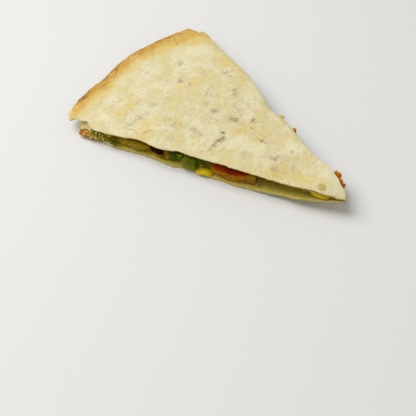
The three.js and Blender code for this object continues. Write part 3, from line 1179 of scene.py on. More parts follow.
@dataclass
class Tortilla:
    """What both tortillas share: a thin sheet with frayed cuts and a toasted, crinkled rim.

    Attributes:
        name: the CAD node that it stands for.
        rows: grid points from tip to rim.
        columns: grid points from cut to cut.
        rings: rows of faces in the cut faces.
        rim_thickness: thickness where the rim is toasted thin.
        fray: how far the cut edges wander at a small scale.
        bulge: how far the cut faces stand out.
        toast_width: how far the browning reaches in from the rim.
        tip_pinch: by how much the sheet is pressed thinner at the tip.
        tip_point: by how much the tip's front side is trimmed.
        tip_nose: how far the tip's corner is drawn out, along X and Y.
        cut_noise: strengths and widths of the wander of the cuts, in shares of the fray.
        rim_noise: those of the wander of the rim.
        crinkles: those of the crinkles at the rim.
        crumbs: those of the roughness of the cut faces.
        toast_wander: those of the width of the browning.
        blotches: those of its strength.
        seed: picks the random fields.
    """

    name: str
    rows: int
    columns: int
    rings: int = 5
    rim_thickness: float = 1.0
    fray: float = 0.3
    bulge: float = 0.2
    toast_width: float = 9.0
    tip_pinch: float = 0.7
    tip_point: float = 1.3
    tip_nose: tuple[float, float] = (1.5, 1.2)
    cut_noise: Layers = ((1.0, 3.4), (0.7, 1.2))
    rim_noise: Layers = ((0.45, 9.0), (0.2, 2.2))
    crinkles: Layers = ((0.3, 6.0), (0.16, 2.3))
    crumbs: Layers = ((0.16, 1.0), (0.08, 0.5))
    toast_wander: Layers = ((1.4, 19.0), (1.0, 7.0))
    blotches: Layers = ((0.08, 2.0), (0.08, 4.5))
    seed: int = 10

    def frayed(self, along: Array, across: Array, plan: Array) -> Array:
        """Moves the plan near the cuts and the rim by fine noise, and draws out the tip.

        The noise fades inwards by high powers of across and along. Bell curves about the tip
        trim its front side and carry its corner out.

        Args:
            along: 0 at the tip to 1 at the rim.
            across: -1 at the front cut to 1 at the back cut.
            plan: plan points of the same places.

        Returns:
            The moved plan points.
        """
        distance = along * WEDGE.round_radius
        line = np.stack([distance, np.sign(across) * 40.0, np.zeros_like(distance)], axis=-1)
        jitter = roughness(line, self.cut_noise, self.seed)
        near_cut = np.abs(across) ** 14 * ease(distance, 1, 8)
        rim_jitter = roughness(rim_line(along, plan) * [1, 0, 0], self.rim_noise, self.seed + 2)
        moved = plan + sideways(across) * (self.fray * jitter * near_cut)[..., None]
        moved[..., 1] += self.tip_point * bell(distance, 0, 4) * bell(across, -0.65, 0.3)
        corner = bell(distance, 0, 3) * (bell(across, -0.4, 0.28) - 0.25 * bell(across, 0.5, 0.35))
        moved = moved + corner[..., None] * np.array(self.tip_nose)
        return moved + radial(plan) * (rim_jitter * along**24)[..., None]

    def relief(self, along: Array, plan: Array) -> Array:
        """Unevenness of the sheet: broad swells, small blisters, and crinkles at the rim.

        Args:
            along: 0 at the tip to 1 at the rim.
            plan: plan points of the same places.

        Returns:
            One height for each place.
        """
        flat = lift_plan(plan)
        broad = 0.2 * layered(flat, 15.0, self.seed + 4, 2) * ease(along, 0, 0.1)
        blisters = 0.16 * np.maximum(lumps(flat, 5.0, self.seed + 5), 0)
        blisters = blisters + 0.085 * lumps(flat, 2.2, self.seed + 6)
        crinkle = roughness(rim_line(along, plan), self.crinkles, self.seed + 7)
        return broad + blisters + crinkle * ease(along, 0.9, 1)

    def thickness(self, along: Array, across: Array) -> Array:
        """Thickness of the sheet, thinner at the rim, at the tip and a little at the cuts.

        Args:
            along: 0 at the tip to 1 at the rim.
            across: -1 at the front cut to 1 at the back cut.

        Returns:
            One thickness for each place.
        """
        thin = (self.rim_thickness - WEDGE.thickness) * ease(along, 0.95, 1)
        pinch = self.tip_pinch * bell(along * WEDGE.round_radius, 0, 10)
        return WEDGE.thickness + thin - pinch - 0.35 * np.abs(across) ** 20

    def wall(self, between: Array, share: Array) -> Array:
        """The cut face: it bulges by a parabola and crumbles by noise.

        Args:
            between: places between the two borders.
            share: 0 at the upper border to 1 at the lower.

        Returns:
            How far each place stands out.
        """
        bulge = self.bulge * 4 * share * (1 - share)
        return bulge + roughness(between, self.crumbs, self.seed + 9)

    def toast(self, along: Array, across: Array, plan: Array) -> Array:
        """Browning from the rim inwards.

        It is exp(-(d / w)^1.8), d being the distance from the rim and w a width that wanders
        along the rim, larger towards the back cut and smaller towards the front. Streaks and
        blotches vary it. It fades into both corners, and between them the very edge is darker.

        Args:
            along: 0 at the tip to 1 at the rim.
            across: -1 at the front cut to 1 at the back cut.
            plan: plan points of the same places.

        Returns:
            The mask, 0 for none and about 1 for the brownest.
        """
        from_rim = (1 - along) * WEDGE.round_radius
        edge = rim_line(along, plan)
        rim = edge * [1, 0, 0]
        width = self.toast_width + roughness(rim, self.toast_wander, 31)
        width = width - 1.6 * ease(-across, 0.1, 0.7)
        width = width + 4.5 * ease(across, 0.0, 0.7) + 5.5 * ease(across, 0.6, 0.95)
        blotch = roughness(lift_plan(plan), self.blotches, 33)
        streak = 0.10 * lumps(edge, np.array([7.0, 0.28, 1.0]), 35)
        fading = 0.09 * ease(across, 0.55, 0.9) + 0.34 * ease(-across, 0.72, 1.0)
        strength = 0.62 + blotch + streak + 0.11 * bell(across, -0.6, 0.4) - fading
        dark_edge = (0.12 + 0.10 * lumps(rim, 5.0, 36)) * (1 - ease(np.abs(across), 0.6, 0.85))
        crisp = strength + dark_edge * bell(from_rim, 0.0, 2.3)
        return np.clip(np.exp(-((from_rim / width) ** 1.8)) * crisp, 0, 1.1)

    def seal(
        self, upper: Array, lower: Array, masks: Sequence[tuple[str, Array, Array, Array]]
    ) -> Piece:
        """Closes the sheet and puts the masks on it.

        Args:
            upper: points of the upper surface.
            lower: points of the lower surface.
            masks: each mask's name, and its grids above, below and for the cut faces.

        Returns:
            The sheet.
        """
        points, faces = sealed_sheet(upper, lower, self.wall, self.rings)
        row, column = sheet_border(*upper.shape[:2])
        layers = {}
        for label, above, below, wall in masks:
            cut_faces = np.tile(wall[row, column], self.rings - 1)
            layers[label] = np.concatenate([above.ravel(), below.ravel(), cut_faces])
        return make_piece(f"baked_{self.name}", WEDGE.place(points), faces, layers)


@dataclass
class TopTortilla(Tortilla):
    """The upper tortilla, domed over the filling, with the marks of the pan on it.

    Attributes:
        patches: toasted yellow places.
        floury: places dusted pale with flour.
        flecks: places with scorched flecks.
        dots: single orange spots of salsa.
        oil_spot: a see-through spot of oil.
        undercut: how far its lower border keeps behind the cut's upper border.
        front_edge: the bite out of the front corner, the crisp point behind it, and the trim
            beside the tip.
        corner_trim: how far the very front corner is cut back.
        nick: how far the rim steps in at the back corner.
        nick_end: how much of that it comes out again at the very corner.
        flat: how far the rim is flattened between the corners.
    """

    name: str = "top_tortilla"
    rows: int = 280
    columns: int = 160
    patches: tuple[Wave, ...] = waves(
        (125, 4, 0.7, 0.27), (108, 5.5, 1.0, 0.36), (113, 4.5, 1.0, 0.10), (106, 5, 0.9, -0.16),
        (89, 2.5, 1.1, -0.20), (86, 4, 1.0, 0.25), (66, 2.8, 1.4, -0.07), (64, 3, 1.4, 0.08),
        (56, 3.5, 1.1, 0.26), (47, 3.5, 1.3, 0.56), (27, 3.5, 0.9, 0.60), (35, 6, 1.2, -0.62),
        (28, 6, 1.2, -0.42), (22, 4, 0.8, -0.26), (17, 5, 0.8, -0.10), (51, 5, 0.9, -0.65),
        (58, 3, 0.7, -0.75), (73, 2, 1.1, -0.70), (88, 4, 1.2, -0.86), (117, 6, 0.9, 0.92),
        (109, 6, 0.9, 0.95), (100, 5, 0.8, 0.96), (93, 5, 0.8, 0.80), (126, 5, 1.0, -0.44),
        (125, 2.6, 2.4, -0.67), (110, 5, 0.8, -0.84), (106, 4, 0.9, -0.74), (104, 4, 1.0, -0.93),
        (92, 4, 0.6, -0.38), (127, 3.5, 1.2, -0.33), (10.4, 1.5, 1.6, -0.2), (9, 7, 0.8, 0.2),
        (124, 3, 1.6, -0.50), (104, 5, 0.8, -0.53), (97, 5, 0.8, -0.42), (91, 4, 0.7, -0.48),
        (96, 4, 0.6, 0.23), (52.5, 3.2, 1.3, 0.13), (43, 3.5, 1.0, 0.36),
    )
    floury: tuple[Wave, ...] = waves(
        (7, 8, 1.5, 0.6), (130, 9, 0.8, 0.70), (122, 7, 0.5, 0.43), (132, 6, 0.8, -0.80),
        (60, 7, 0.9, -0.25), (50, 6, 0.9, -0.17), (40, 6, 0.8, 0.48), (18, 6, 0.5, 0.68),
        (72, 5, 0.7, -0.18),
    )
    flecks: tuple[Wave, ...] = waves(
        (126, 2.2, 1.2, 0.44), (133, 2.2, 1.1, 0.06), (114, 2, 1.4, 0.21), (108.5, 1.8, 1.3, 0.26),
        (103, 2.2, 1.3, 0.76), (98.5, 1.5, 1.2, 0.76), (117, 2, 1.2, -0.78), (116, 2, 1.3, -0.69),
        (114, 2, 1.3, -0.61), (113, 1.7, 1.1, -0.51), (122, 2.5, 1.0, -0.41), (114, 3, 0.9, -0.30),
        (96, 3, 0.9, 0.33), (91.5, 2, 1.1, 0.10), (88, 2.4, 1.3, 0.64), (86, 2.6, 1.2, 0.57),
        (84.5, 1.8, 1.5, 0.08), (78, 4, 0.8, 0.45), (74.5, 2.2, 1.6, 0.14), (71.5, 2, 1.5, 0.17),
        (65.5, 2.0, 1.4, 0.41), (71, 1.1, 3.8, -0.22), (68.5, 1.2, 2.6, -0.34),
        (69, 1.6, 2.4, -0.44), (69.5, 1.9, 2.2, -0.59), (69.5, 1.4, 1.7, -0.73),
        (98, 5, 0.7, -0.50), (84, 2.5, 1.0, -0.45), (79.5, 2.5, 1.0, -0.51), (91, 3, 0.8, -0.78),
        (52.5, 1.1, 2.5, 0.12), (49.5, 1.8, 1.1, 0.14), (41, 2.6, 1.5, -0.14), (40, 1.8, 0.9, 0.02),
        (52.5, 3, 0.8, -0.5), (30, 1.2, 1.5, 0.01), (36, 3, 0.8, -0.50), (29, 3, 0.7, -0.38),
        (23, 2.5, 0.7, -0.45), (85, 20, 0.35, -0.1),
    )
    dots: tuple[Wave, ...] = waves(
        (62, 1.0, 1.2, 0.24), (53, 1.0, 0.6, 0.72), (37, 1.0, 0.8, 0.43), (36, 0.8, 0.7, 0.40),
        (138, 0.7, 1.2, 0.15), (142, 0.7, 0.8, -0.02), (100, 0.6, 0.8, 0.09),
        (125, 1.2, 0.4, -0.68), (64, 0.8, 0.7, -0.58), (135, 0.6, 0.5, -0.57),
        (30, 0.6, 0.8, -0.03),
    )
    oil_spot: Wave = Wave(11.1, 2.15, 0.85, -0.26)
    undercut: float = 0.9
    front_edge: tuple[Wave, ...] = waves((139.5, 2.8, -2.4), (148.6, 1.2, 2.6), (1.0, 5.0, -0.9))
    corner_trim: float = 1.8
    nick: float = 7.2
    nick_end: float = 1.0
    flat: float = 1.1

    def outline(self, along: Array, across: Array) -> Array:
        """Plan with its torn front corner and the nick beside the back corner.

        Args:
            along: 0 at the tip to 1 at the rim.
            across: -1 at the front cut to 1 at the back cut.

        Returns:
            Plan points of the upper surface.
        """
        plan = WEDGE.plan(along, across)
        distance = along * WEDGE.round_radius
        torn = sum(wave.rise(distance) for wave in self.front_edge)
        torn = torn - self.corner_trim * ease(distance, 149.8, 151.5)
        front = np.where(across < 0, np.abs(across) ** 7, 0.0)
        plan = plan + WEDGE.out(Side.FRONT) * (torn * front)[..., None]
        nick = self.nick_end * ease(across, 0.98, 1.0) - self.nick * ease(across, 0.88, 0.98)
        flats = self.flat * (bell(across, -0.27, 0.17) + ease(across, 0.2, 0.5))
        plan = plan + radial(plan) * ((nick - flats) * along**13)[..., None]
        return self.frayed(along, across, plan)

    def surface(self, along: Array, across: Array) -> Array:
        """Points of the upper surface, drooping a little at the cuts.

        Args:
            along: 0 at the tip to 1 at the rim.
            across: -1 at the front cut to 1 at the back cut.

        Returns:
            The points, in millimetres.
        """
        plan = self.outline(along, across)
        droop = 0.4 * np.abs(across) ** 18 * ease(along, 0.05, 0.3)
        high = WEDGE.crown(along, across) + self.relief(along, plan) - droop
        return raised(plan, high)

    def build(self) -> Piece:
        """Raises the sheet over the filling, seals it and marks its surface.

        Returns:
            The sheet.
        """
        along, across = sheet_grid(self.rows, self.columns)
        upper = self.surface(along, across)
        plan, high = upper[..., :2], upper[..., 2]
        low = np.minimum(high - self.thickness(along, across), WEDGE.ceiling(along, across) + 0.9)
        behind = (self.undercut * np.abs(across) ** 16 * ease(along, 0.0, 0.06))[..., None]
        lower = raised(plan - sideways(across) * behind, low)
        flat = lift_plan(plan)
        none = np.zeros_like(along)
        toast = self.toast(along, across, plan)
        patch = spot_sum(plan, self.patches) + 0.3 * lumps(flat, 7.0, 41)
        patch = patch + 0.05 - 0.3 * ease(along, 0.72, 0.9)
        fleck = spot_sum(plan, self.flecks) + 0.2 * lumps(flat, 9.0, 42)
        spot = spot_sum(plan, [self.oil_spot])
        edge = 0.3 * np.abs(across) ** 30 * ease(along, 0.0, 0.1) + 0.15 * bell(along, 0.0, 0.02)
        grease = edge + self.oil_spot.size * ease(spot, 0.22, 0.36)
        masks = [
            ("toast", toast, 0.8 * toast, (0.3 + 0.9 * toast) * ease(along, 0.9, 1.0)),
            ("patch", patch, none, none),
            ("flour", spot_sum(plan, self.floury), none, none),
            ("fleck", fleck, none, none),
            ("dot", spot_sum(plan, self.dots), none, none),
            ("grease", grease, none, none),
            ("inner", none, none + 0.9, none),
            ("cut", none, none, 0.8 * (1 - np.clip(1.6 * toast, 0, 1))),
        ]
        return self.seal(upper, lower, masks)


@dataclass
class BottomTortilla(Tortilla):
    """The lower tortilla, flat below, curled up to the tip and at its front corner.

    Attributes:
        corner_curl: how far the front corner curls up.
        lobe_reach: how far the doubled, browned end of the front cut spreads.
        lobe_height: how much thicker it is there.
        lobe_out: how far it stands out of the cut.
        stained: strengths and widths of the straw patches below.
    """

    name: str = "bottom_tortilla"
    rows: int = 210
    columns: int = 120
    seed: int = 60
    corner_curl: float = 0.2
    lobe_reach: float = 4.2
    lobe_height: float = 1.1
    lobe_out: float = 1.6
    stained: Layers = ((0.5, 11.0), (0.35, 5.0))

    def build(self) -> Piece:
        """Lays the sheet on its flat underside, curls its ends, seals it and marks it.

        Returns:
            The sheet.
        """
        along, across = sheet_grid(self.rows, self.columns)
        setback = WEDGE.corner_setback * bell(across, Side.FRONT.value, WEDGE.corner_reach)
        plan = WEDGE.plan(along, across, setback, WEDGE.lower_waves)
        corner = plan[-1, 0] - 3.0 * WEDGE.run(Side.FRONT)
        doubled = bell(np.linalg.norm(plan - corner, axis=-1), 0.0, self.lobe_reach)
        plan = plan + WEDGE.out(Side.FRONT) * (self.lobe_out * doubled)[..., None]
        plan = self.frayed(along, across, plan)
        curl = self.corner_curl * ease(along, 0.93, 1.0) * bell(across, -1.0, 0.2)
        relief = self.relief(along, plan)
        pinch = bell(along * WEDGE.round_radius, 0, 10)
        bumps = 0.12 * np.maximum(relief, 0) * ease(np.abs(across), 0.9, 1)
        low = WEDGE.underside(along) + pinch + curl + bumps
        high = low + self.thickness(along, across) + 0.5 * np.clip(relief, -0.35, 0.35)
        high = high + self.lobe_height * doubled
        flat = lift_plan(plan)
        none = np.zeros_like(along)
        toast = np.clip(self.toast(along, across, plan) * (1 - doubled) + 0.62 * doubled, 0, 1.05)
        patch = 0.35 + roughness(flat, self.stained, 71)
        fleck = 0.55 + 0.6 * lumps(flat, 12.0, 73)
        wet = 1 - ease(along, 0.82, 0.88) * ease(-across, 0.3, 0.6)
        soaked = np.clip(0.3 + 0.5 * lumps(flat, 6.0, 74), 0, 1) * wet * (1 - np.abs(across) ** 30)
        masks = [
            ("toast", 0.3 * toast + 0.5 * doubled, toast, toast),
            ("patch", none, patch, none),
            ("fleck", none, fleck, none),
            ("grease", soaked, none, none),
            ("inner", 0.95 * wet * (1 - np.clip(toast, 0, 1)), none, none),
            ("cut", none, none, 0.8 * (1 - np.clip(1.4 * toast, 0, 1))),
        ]
        upper = raised(plan, high)
        return self.seal(upper, raised(plan, low), masks)


@dataclass
class CornerFold:
    """One leaf of the lower tortilla, doubled over at the front corner.

    Attributes:
        dents: strengths and widths of the unevenness of both leaves.
        name: name of the piece.
        distance: its middle's distance from the tip along the front cut.
        depth: its middle's depth behind the cut.
        height: its middle's height.
        size: length along the cut, depth and thickness.
        droop: how far its outer side leans down, in radians.
        toast: how brown it is on top.
        flour: how pale it is dusted.
        seed: picks its unevenness.
    """

    dents: ClassVar[Layers] = ((0.4, 2.8), (0.2, 1.0))

    name: str
    distance: float
    depth: float
    height: float
    size: Triple
    droop: float
    toast: float
    flour: float
    seed: int

    def build(self) -> Piece:
        """Rounds, roughens, slants and places a flat block, browner along its rim end.

        Returns:
            The leaf.
        """
        unit, faces = block_lattice(28)
        points = rounded(unit, 2.5) / 2 * np.array(self.size)
        points = swollen(points, roughness(points, self.dents, self.seed))
        share = points[:, 0] / self.size[0]
        toast = self.toast + 0.42 * lumps(points, 0.9, self.seed + 2) + 0.5 * ease(share, 0.3, 0.5)
        toast = toast - 0.45 * ease(-points[:, 2], 0.1, 0.8)
        points[:, 2] -= math.tan(self.droop) * points[:, 1]
        run = WEDGE.run(Side.FRONT)
        plan = WEDGE.at_cut(Side.FRONT, np.array(self.distance), np.array(self.depth))
        points = turned(points, math.atan2(run[1], run[0])) + np.array([*plan, self.height])
        points[:, 2] = np.maximum(points[:, 2], 0.15)
        pale = np.full(len(points), self.flour)
        masks = {"toast": np.clip(toast, 0, 1), "flour": pale, "patch": pale}
        return make_piece(self.name, WEDGE.place(points), faces, masks)


CORNER_FOLDS = (
    CornerFold("browned_tab", 132.3, 1.9, 2.7, (7.4, 4.6, 1.9), 0.2, 0.94, 0.0, 91),
    CornerFold("pale_flap", 132.9, 4.0, 4.4, (6.4, 5.6, 1.2), 0.8, 0.0, 0.6, 94),
)


# ---------------------------------------------------------------------------------------
# Filling and its pieces
# ---------------------------------------------------------------------------------------


@dataclass
class Filling:
    """Melted cheese and salsa between the tortillas, lumpy where the cuts show it.

    Attributes:
        rows: grid points from tip to rim.
        columns: grid points from cut to cut.
        rings: rows of faces in its torn wall.
        start: where it starts, 0 at the tip to 1 at the rim.
        end: where it ends.
        full_recess: how far it keeps behind the cuts where it is full.
        thin_stretch: where it keeps further behind the front cut, and by how much.
        lean: where it leans back under the upper tortilla, and how far.
        pit: a place at the front cut full of herbs, darkened by painted shade.
        sauced: where salsa colours it.
        herbed: where herbs colour it.
        clearance: from both tortillas.
        swells: strengths and widths of the lumps of its wall.
        dips: strengths and widths of the dips between them, where shade is painted.
    """

    rows: int = 300
    columns: int = 44
    rings: int = 22
    start: float = 0.13
    end: float = 0.9
    full_recess: float = 2.3
    thin_stretch: Wave = Wave(30, 16, 9.0)
    lean: Wave = Wave(86, 30, 3.6)
    pit: Wave = Wave(66.5, 3.6, 0.8)
    sauced: tuple[Wave, ...] = waves((50, 12, 0.75), (92, 9, 0.4), (20, 6, 0.3))
    herbed: Wave = Wave(120, 9, 0.35)
    clearance: float = 0.12
    swells: Layers = ((1.0, 4.2), (0.7, 2.0), (0.35, 0.9))
    dips: Layers = ((2.2, 4.2), (1.2, 2.0))

    def plan(self, along: Array, across: Array) -> Array:
        """Plan that keeps behind the cuts, further where the filling has fallen out.

        Args:
            along: 0 at the tip to 1 at the rim.
            across: -1 at the front cut to 1 at the back cut.

        Returns:
            Its plan points.
        """
        thin = self.thin_stretch.rise(along * WEDGE.round_radius)
        recess = self.full_recess + thin * (1 - across) / 2
        return WEDGE.plan(along, across) - sideways(across) * (recess * np.abs(across))[..., None]

    def build(self) -> Piece:
        """Fills the space between the tortillas out to a lumpy wall.

        Returns:
            The filling.
        """
        rows = np.linspace(self.start, self.end, self.rows)
        along, across = np.meshgrid(rows, np.linspace(-1, 1, self.columns), indexing="ij")
        plan = self.plan(along, across)
        low = WEDGE.floor(along) + self.clearance
        high = WEDGE.ceiling(along, across) - self.clearance - 0.5
        upper = raised(plan, high)
        lower = raised(plan, low)
        points, faces = sealed_sheet(upper, lower, self.wall, self.rings)
        distance = -points[:, 0]
        salsa = sum(wave.rise(distance) for wave in self.sauced) + 0.5 * layered(points, 5.0, 83, 2)
        herb = 0.22 + self.herbed.rise(distance) + 0.45 * lumps(points, 3.2, 84)
        along, across = WEDGE.locate(points)
        floor, ceiling = WEDGE.floor(along), WEDGE.ceiling(along, across)
        # Painted shade over the top of the filling under the upper tortilla, from 56 mm on.
        painted_top_shade = ease((points[:, 2] - floor) / (ceiling - floor), 0.55, 0.9) * ease(distance, 56, 70)
        pit = bell(distance, self.pit.start, self.pit.reach) * ease(-across, 0.3, 0.8)
        herb = herb + self.pit.size * pit
        # Painted shade in the dips between the lumps, under the upper tortilla and over the pit.
        painted_gap_shade = np.maximum(0.75 * ease(self.hollows(points), 0.35, 1.9), 0.85 * painted_top_shade)
        painted_gap_shade = np.maximum(painted_gap_shade, 0.45 * pit)
        masks = {"salsa": salsa, "herb": herb, "painted_gap_shade": painted_gap_shade}
        return make_piece("melted_filling", WEDGE.place(points), faces, masks)

    def wall(self, between: Array, share: Array) -> Array:
        """The torn face: lumps of three sizes, leaning back under the upper tortilla.

        Args:
            between: places between the two borders.
            share: 0 at the upper border to 1 at the lower.

        Returns:
            How far each place stands out.
        """
        swell = np.sin(math.pi * share) ** 0.7
        lean = self.lean.rise(-between[..., 0]) * (1 - share) ** 1.2
        return (roughness(between, self.swells, 80) + 0.3) * swell - lean

    def hollows(self, points: Array) -> Array:
        """Depth of a place between the lumps, 0 on top of them; painted shade follows it."""
        return np.maximum(0, -roughness(points, self.dips, 80))


@dataclass
class Morsel:
    """One cut or whole bit of food between the tortillas.

    Its form is a block rounded by |x|^p + |y|^p + |z|^p = 1, shaped further by its kind.

    Attributes:
        finish: the finish of its kind.
        power: squareness of the block, the p above; 2 for a ball.
        dents: depth and width of each noise on its skin.
        divisions: quads along an edge of the block.
        painted_top_shade: how much painted shade darkens its top, under the upper tortilla.
        node: the CAD node that it stands for.
        size: length along the cut, depth and height.
        side: the cut at which it shows.
        turn: turn about +Z away from the cut's line.
        tilt: turn about its own length, leaning its top out of the cut.
        lift: how far it is raised over its CAD node's middle.
        seed: picks its unevenness.
        painted_dimming: painted shade over the whole bit, deep in the filling.
        slide: how far it is moved towards the tip from its CAD node's middle.
    """

    finish: ClassVar[MoistFinish] = PEPPER
    power: ClassVar[float] = 6.0
    dents: ClassVar[Layers] = ((0.28, 2.4), (0.1, 1.0))
    divisions: ClassVar[int] = 22
    painted_top_shade: ClassVar[float] = 0.5

    node: str
    size: Triple
    side: Side
    turn: float = 0.0
    tilt: float = 0.0
    lift: float = 0.0
    seed: int = 1
    painted_dimming: float = 0.0
    slide: float = 0.0

    def form(self, block: Array) -> Array:
        """Shapes the rounded block, which is one unit long, wide and high."""
        return block

    def skin(self, points: Array) -> Array:
        """How far the skin stands out at each point, in millimetres."""
        return roughness(points, self.dents, self.seed)

    def tilted(self, points: Array) -> Array:
        """Turns points about X, their tops towards the outside of the cut.

        Args:
            points: the bit's points.

        Returns:
            The turned points.
        """
        angle = self.tilt * -self.side.value
        c, s = math.cos(angle), math.sin(angle)
        return points @ np.array([[1.0, 0.0, 0.0], [0.0, c, -s], [0.0, s, c]])

    def build(self, materials: dict[str, Material]) -> Piece:
        """Sizes, turns and places the bit where its CAD node lies, between the tortillas.

        Args:
            materials: the finished materials by name.

        Returns:
            The bit, tied to the frame.
        """
        unit, faces = block_lattice(self.divisions)
        points = self.form(rounded(unit, self.power) / 2) * np.array(self.size)
        points = self.tilted(swollen(points, self.skin(points + self.seed)))
        run = WEDGE.run(self.side)
        points = turned(points, math.atan2(run[1], run[0]) + self.turn)
        low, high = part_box(self.node)
        middle = (np.array(low) + np.array(high)) / 2
        shift = np.array([*(-self.slide * run), self.lift])
        points = points + (middle - WEDGE.place(np.zeros(3))) / MM + shift
        along, across = WEDGE.locate(points)
        floor, ceiling = WEDGE.floor(along) + 0.05, WEDGE.ceiling(along, across) - 0.1
        points[:, 2] = np.clip(points[:, 2], floor, np.maximum(ceiling, floor + 0.4))
        share = (points[:, 2] - floor) / np.maximum(ceiling - floor, 0.5)
        # Painted shade: darker towards the top under the upper tortilla, and all over for bits deep
        # in the filling.
        painted_shade = self.painted_top_shade * ease(share, 0.45, 0.95) + self.painted_dimming
        masks = {"painted_top_shade": painted_shade, "low": 1 - ease(share, 0.35, 0.95)}
        piece = make_piece(f"cooked_{self.node}", WEDGE.place(points), faces, masks)
        finish_piece(piece, materials[self.finish.name], [self.node])
        return piece


@dataclass
class PepperDice(Morsel):
    """A dice of green pepper: square-cut flesh with a bowed skin.

    Attributes:
        bow: how far its long way is bowed, over its depth.
    """

    power: ClassVar[float] = 12.0

    bow: float = 0.12

    def form(self, block: Array) -> Array:
        """Bows the block by a parabola along its length and narrows it towards its top.

        Args:
            block: the rounded block's points.

        Returns:
            The shaped points.
        """
        block[:, :2] *= (1 - 0.1 * (block[:, 2:3] + 0.5)) * 1.02
        block[:, 1] += self.bow * (0.25 - block[:, 0] ** 2) - self.bow / 8
        return block


@dataclass
class OnionDice(PepperDice):
    """A dice of fried onion, soft and dented all over."""

    finish: ClassVar[MoistFinish] = ONION
    dents: ClassVar[Layers] = ((0.5, 2.8), (0.15, 1.2))


@dataclass
class TomatoChunk(Morsel):
    """A wedge of tomato: soft, strongly dented flesh."""

    finish: ClassVar[MoistFinish] = TOMATO
    power: ClassVar[float] = 3.6
    dents: ClassVar[Layers] = ((0.75, 3.6), (0.3, 1.5))

    def form(self, block: Array) -> Array:
        """Thins the block towards one end."""
        block[:, 2] *= 1 + 0.5 * block[:, 0]
        return block


@dataclass
class CornKernel(Morsel):
    """A kernel of corn: a plump crown that narrows to its root, with a tight smooth skin."""

    finish: ClassVar[MoistFinish] = CORN
    power: ClassVar[float] = 2.6
    dents: ClassVar[Layers] = ((0.12, 2.8),)

    def form(self, block: Array) -> Array:
        """Narrows the block along its depth and presses a dimple, a bell curve, in its crown.

        Args:
            block: the rounded block's points.

        Returns:
            The shaped points.
        """
        block[:, [0, 2]] *= 1 - 0.3 * (0.5 + block[:, 1:2] * self.side.value)
        block[:, 1] *= 1 - 0.12 * bell(block[:, 0], 0, 0.2) * bell(block[:, 2], 0, 0.16)
        return block


@dataclass
class Bean(Morsel):
    """A black bean, bent along its length, with a slight wobble of the skin."""

    finish: ClassVar[MoistFinish] = BEAN
    power: ClassVar[float] = 2.15
    dents: ClassVar[Layers] = ((0.1, 2.2),)

    def form(self, block: Array) -> Array:
        """Bends the block, almost a ball, by a parabola."""
        block[:, 1] += 0.35 * (block[:, 0] ** 2 - 0.125)
        return block


@dataclass
class ChickenStrip(Morsel):
    """A torn strip of chicken: noise drawn out along it for fibres, and torn lumps."""

    finish: ClassVar[MoistFinish] = CHICKEN
    power: ClassVar[float] = 4.0
    dents: ClassVar[Layers] = ((0.35, (6.0, 1.0, 1.0)), (0.3, 2.2))

    def form(self, block: Array) -> Array:
        """Thins the block to its ends and twists it about its length.

        Args:
            block: the rounded block's points.

        Returns:
            The shaped points.
        """
        block[:, 1:] *= 1 - 0.5 * np.abs(block[:, :1]) ** 1.5
        twist = 0.5 * block[:, 0]
        y = block[:, 1] * np.cos(twist) - block[:, 2] * np.sin(twist)
        z = block[:, 1] * np.sin(twist) + block[:, 2] * np.cos(twist)
        return np.stack([block[:, 0], y, z], axis=1)


@dataclass
class SaucedStrip(ChickenStrip):
    """A strip of chicken coated with salsa."""

    finish: ClassVar[MoistFinish] = SAUCED


def morsels() -> list[Morsel]:
    """Every bit at the front cut, from the rim to the tip, then those at the back cut.

    Returns:
        The bits, in the order in which they are built.
    """
    front, back = Side.FRONT, Side.BACK
    # Some bits deep in the filling carry painted shade all over.
    return [
        ChickenStrip("chicken_1", (12, 8, 5.4), front, 0.1, seed=101, painted_dimming=0.1),
        Bean("bean_1", (8.6, 6, 5.6), front, -0.3, seed=102),
        PepperDice("pepper_1", (8.4, 7, 7), front, 0.35, 0.1, seed=103, painted_dimming=0.45),
        PepperDice("pepper_2", (7.2, 6.2, 6.6), front, 0.0, 0.14, seed=104),
        CornKernel("corn_1", (10.2, 7, 4.6), front, 0.15, 0.1, -1.9, seed=105),
        PepperDice("pepper_3", (10.4, 6.2, 5.6), front, 0.1, seed=106, painted_dimming=0.45),
        TomatoChunk("tomato_1", (20, 8, 7.4), front, 0.05, 0.1, -0.8, seed=107),
        SaucedStrip("chicken_2", (11.5, 7, 4.2), front, -0.05, seed=108),
        OnionDice("onion_1", (7, 6, 4.4), front, 0.2, seed=109),
        CornKernel("corn_2", (11.6, 5.8, 3.6), front, -0.1, 0.0, 0.3, seed=110, slide=1.9),
        Bean("bean_2", (9, 6, 5.4), back, 0.2, seed=111),
        PepperDice("pepper_4", (9, 6, 6.6), back, 0.1, seed=112),
        CornKernel("corn_3", (8.2, 7.4, 5.8), back, -0.2, seed=113),
        ChickenStrip("chicken_3", (12, 7.5, 6.4), back, -0.1, seed=114),
        TomatoChunk("tomato_2", (9, 8.4, 6.4), back, 0.15, seed=115),
        PepperDice("pepper_5", (8.4, 5.6, 7.6), back, 0.05, seed=116),
        Bean("bean_3", (8.8, 6, 5.8), back, -0.25, seed=117),
        CornKernel("corn_4", (8, 7, 5.6), back, 0.2, seed=118),
        TomatoChunk("tomato_3", (9.5, 6.4, 4.2), back, 0.05, seed=119),
    ]


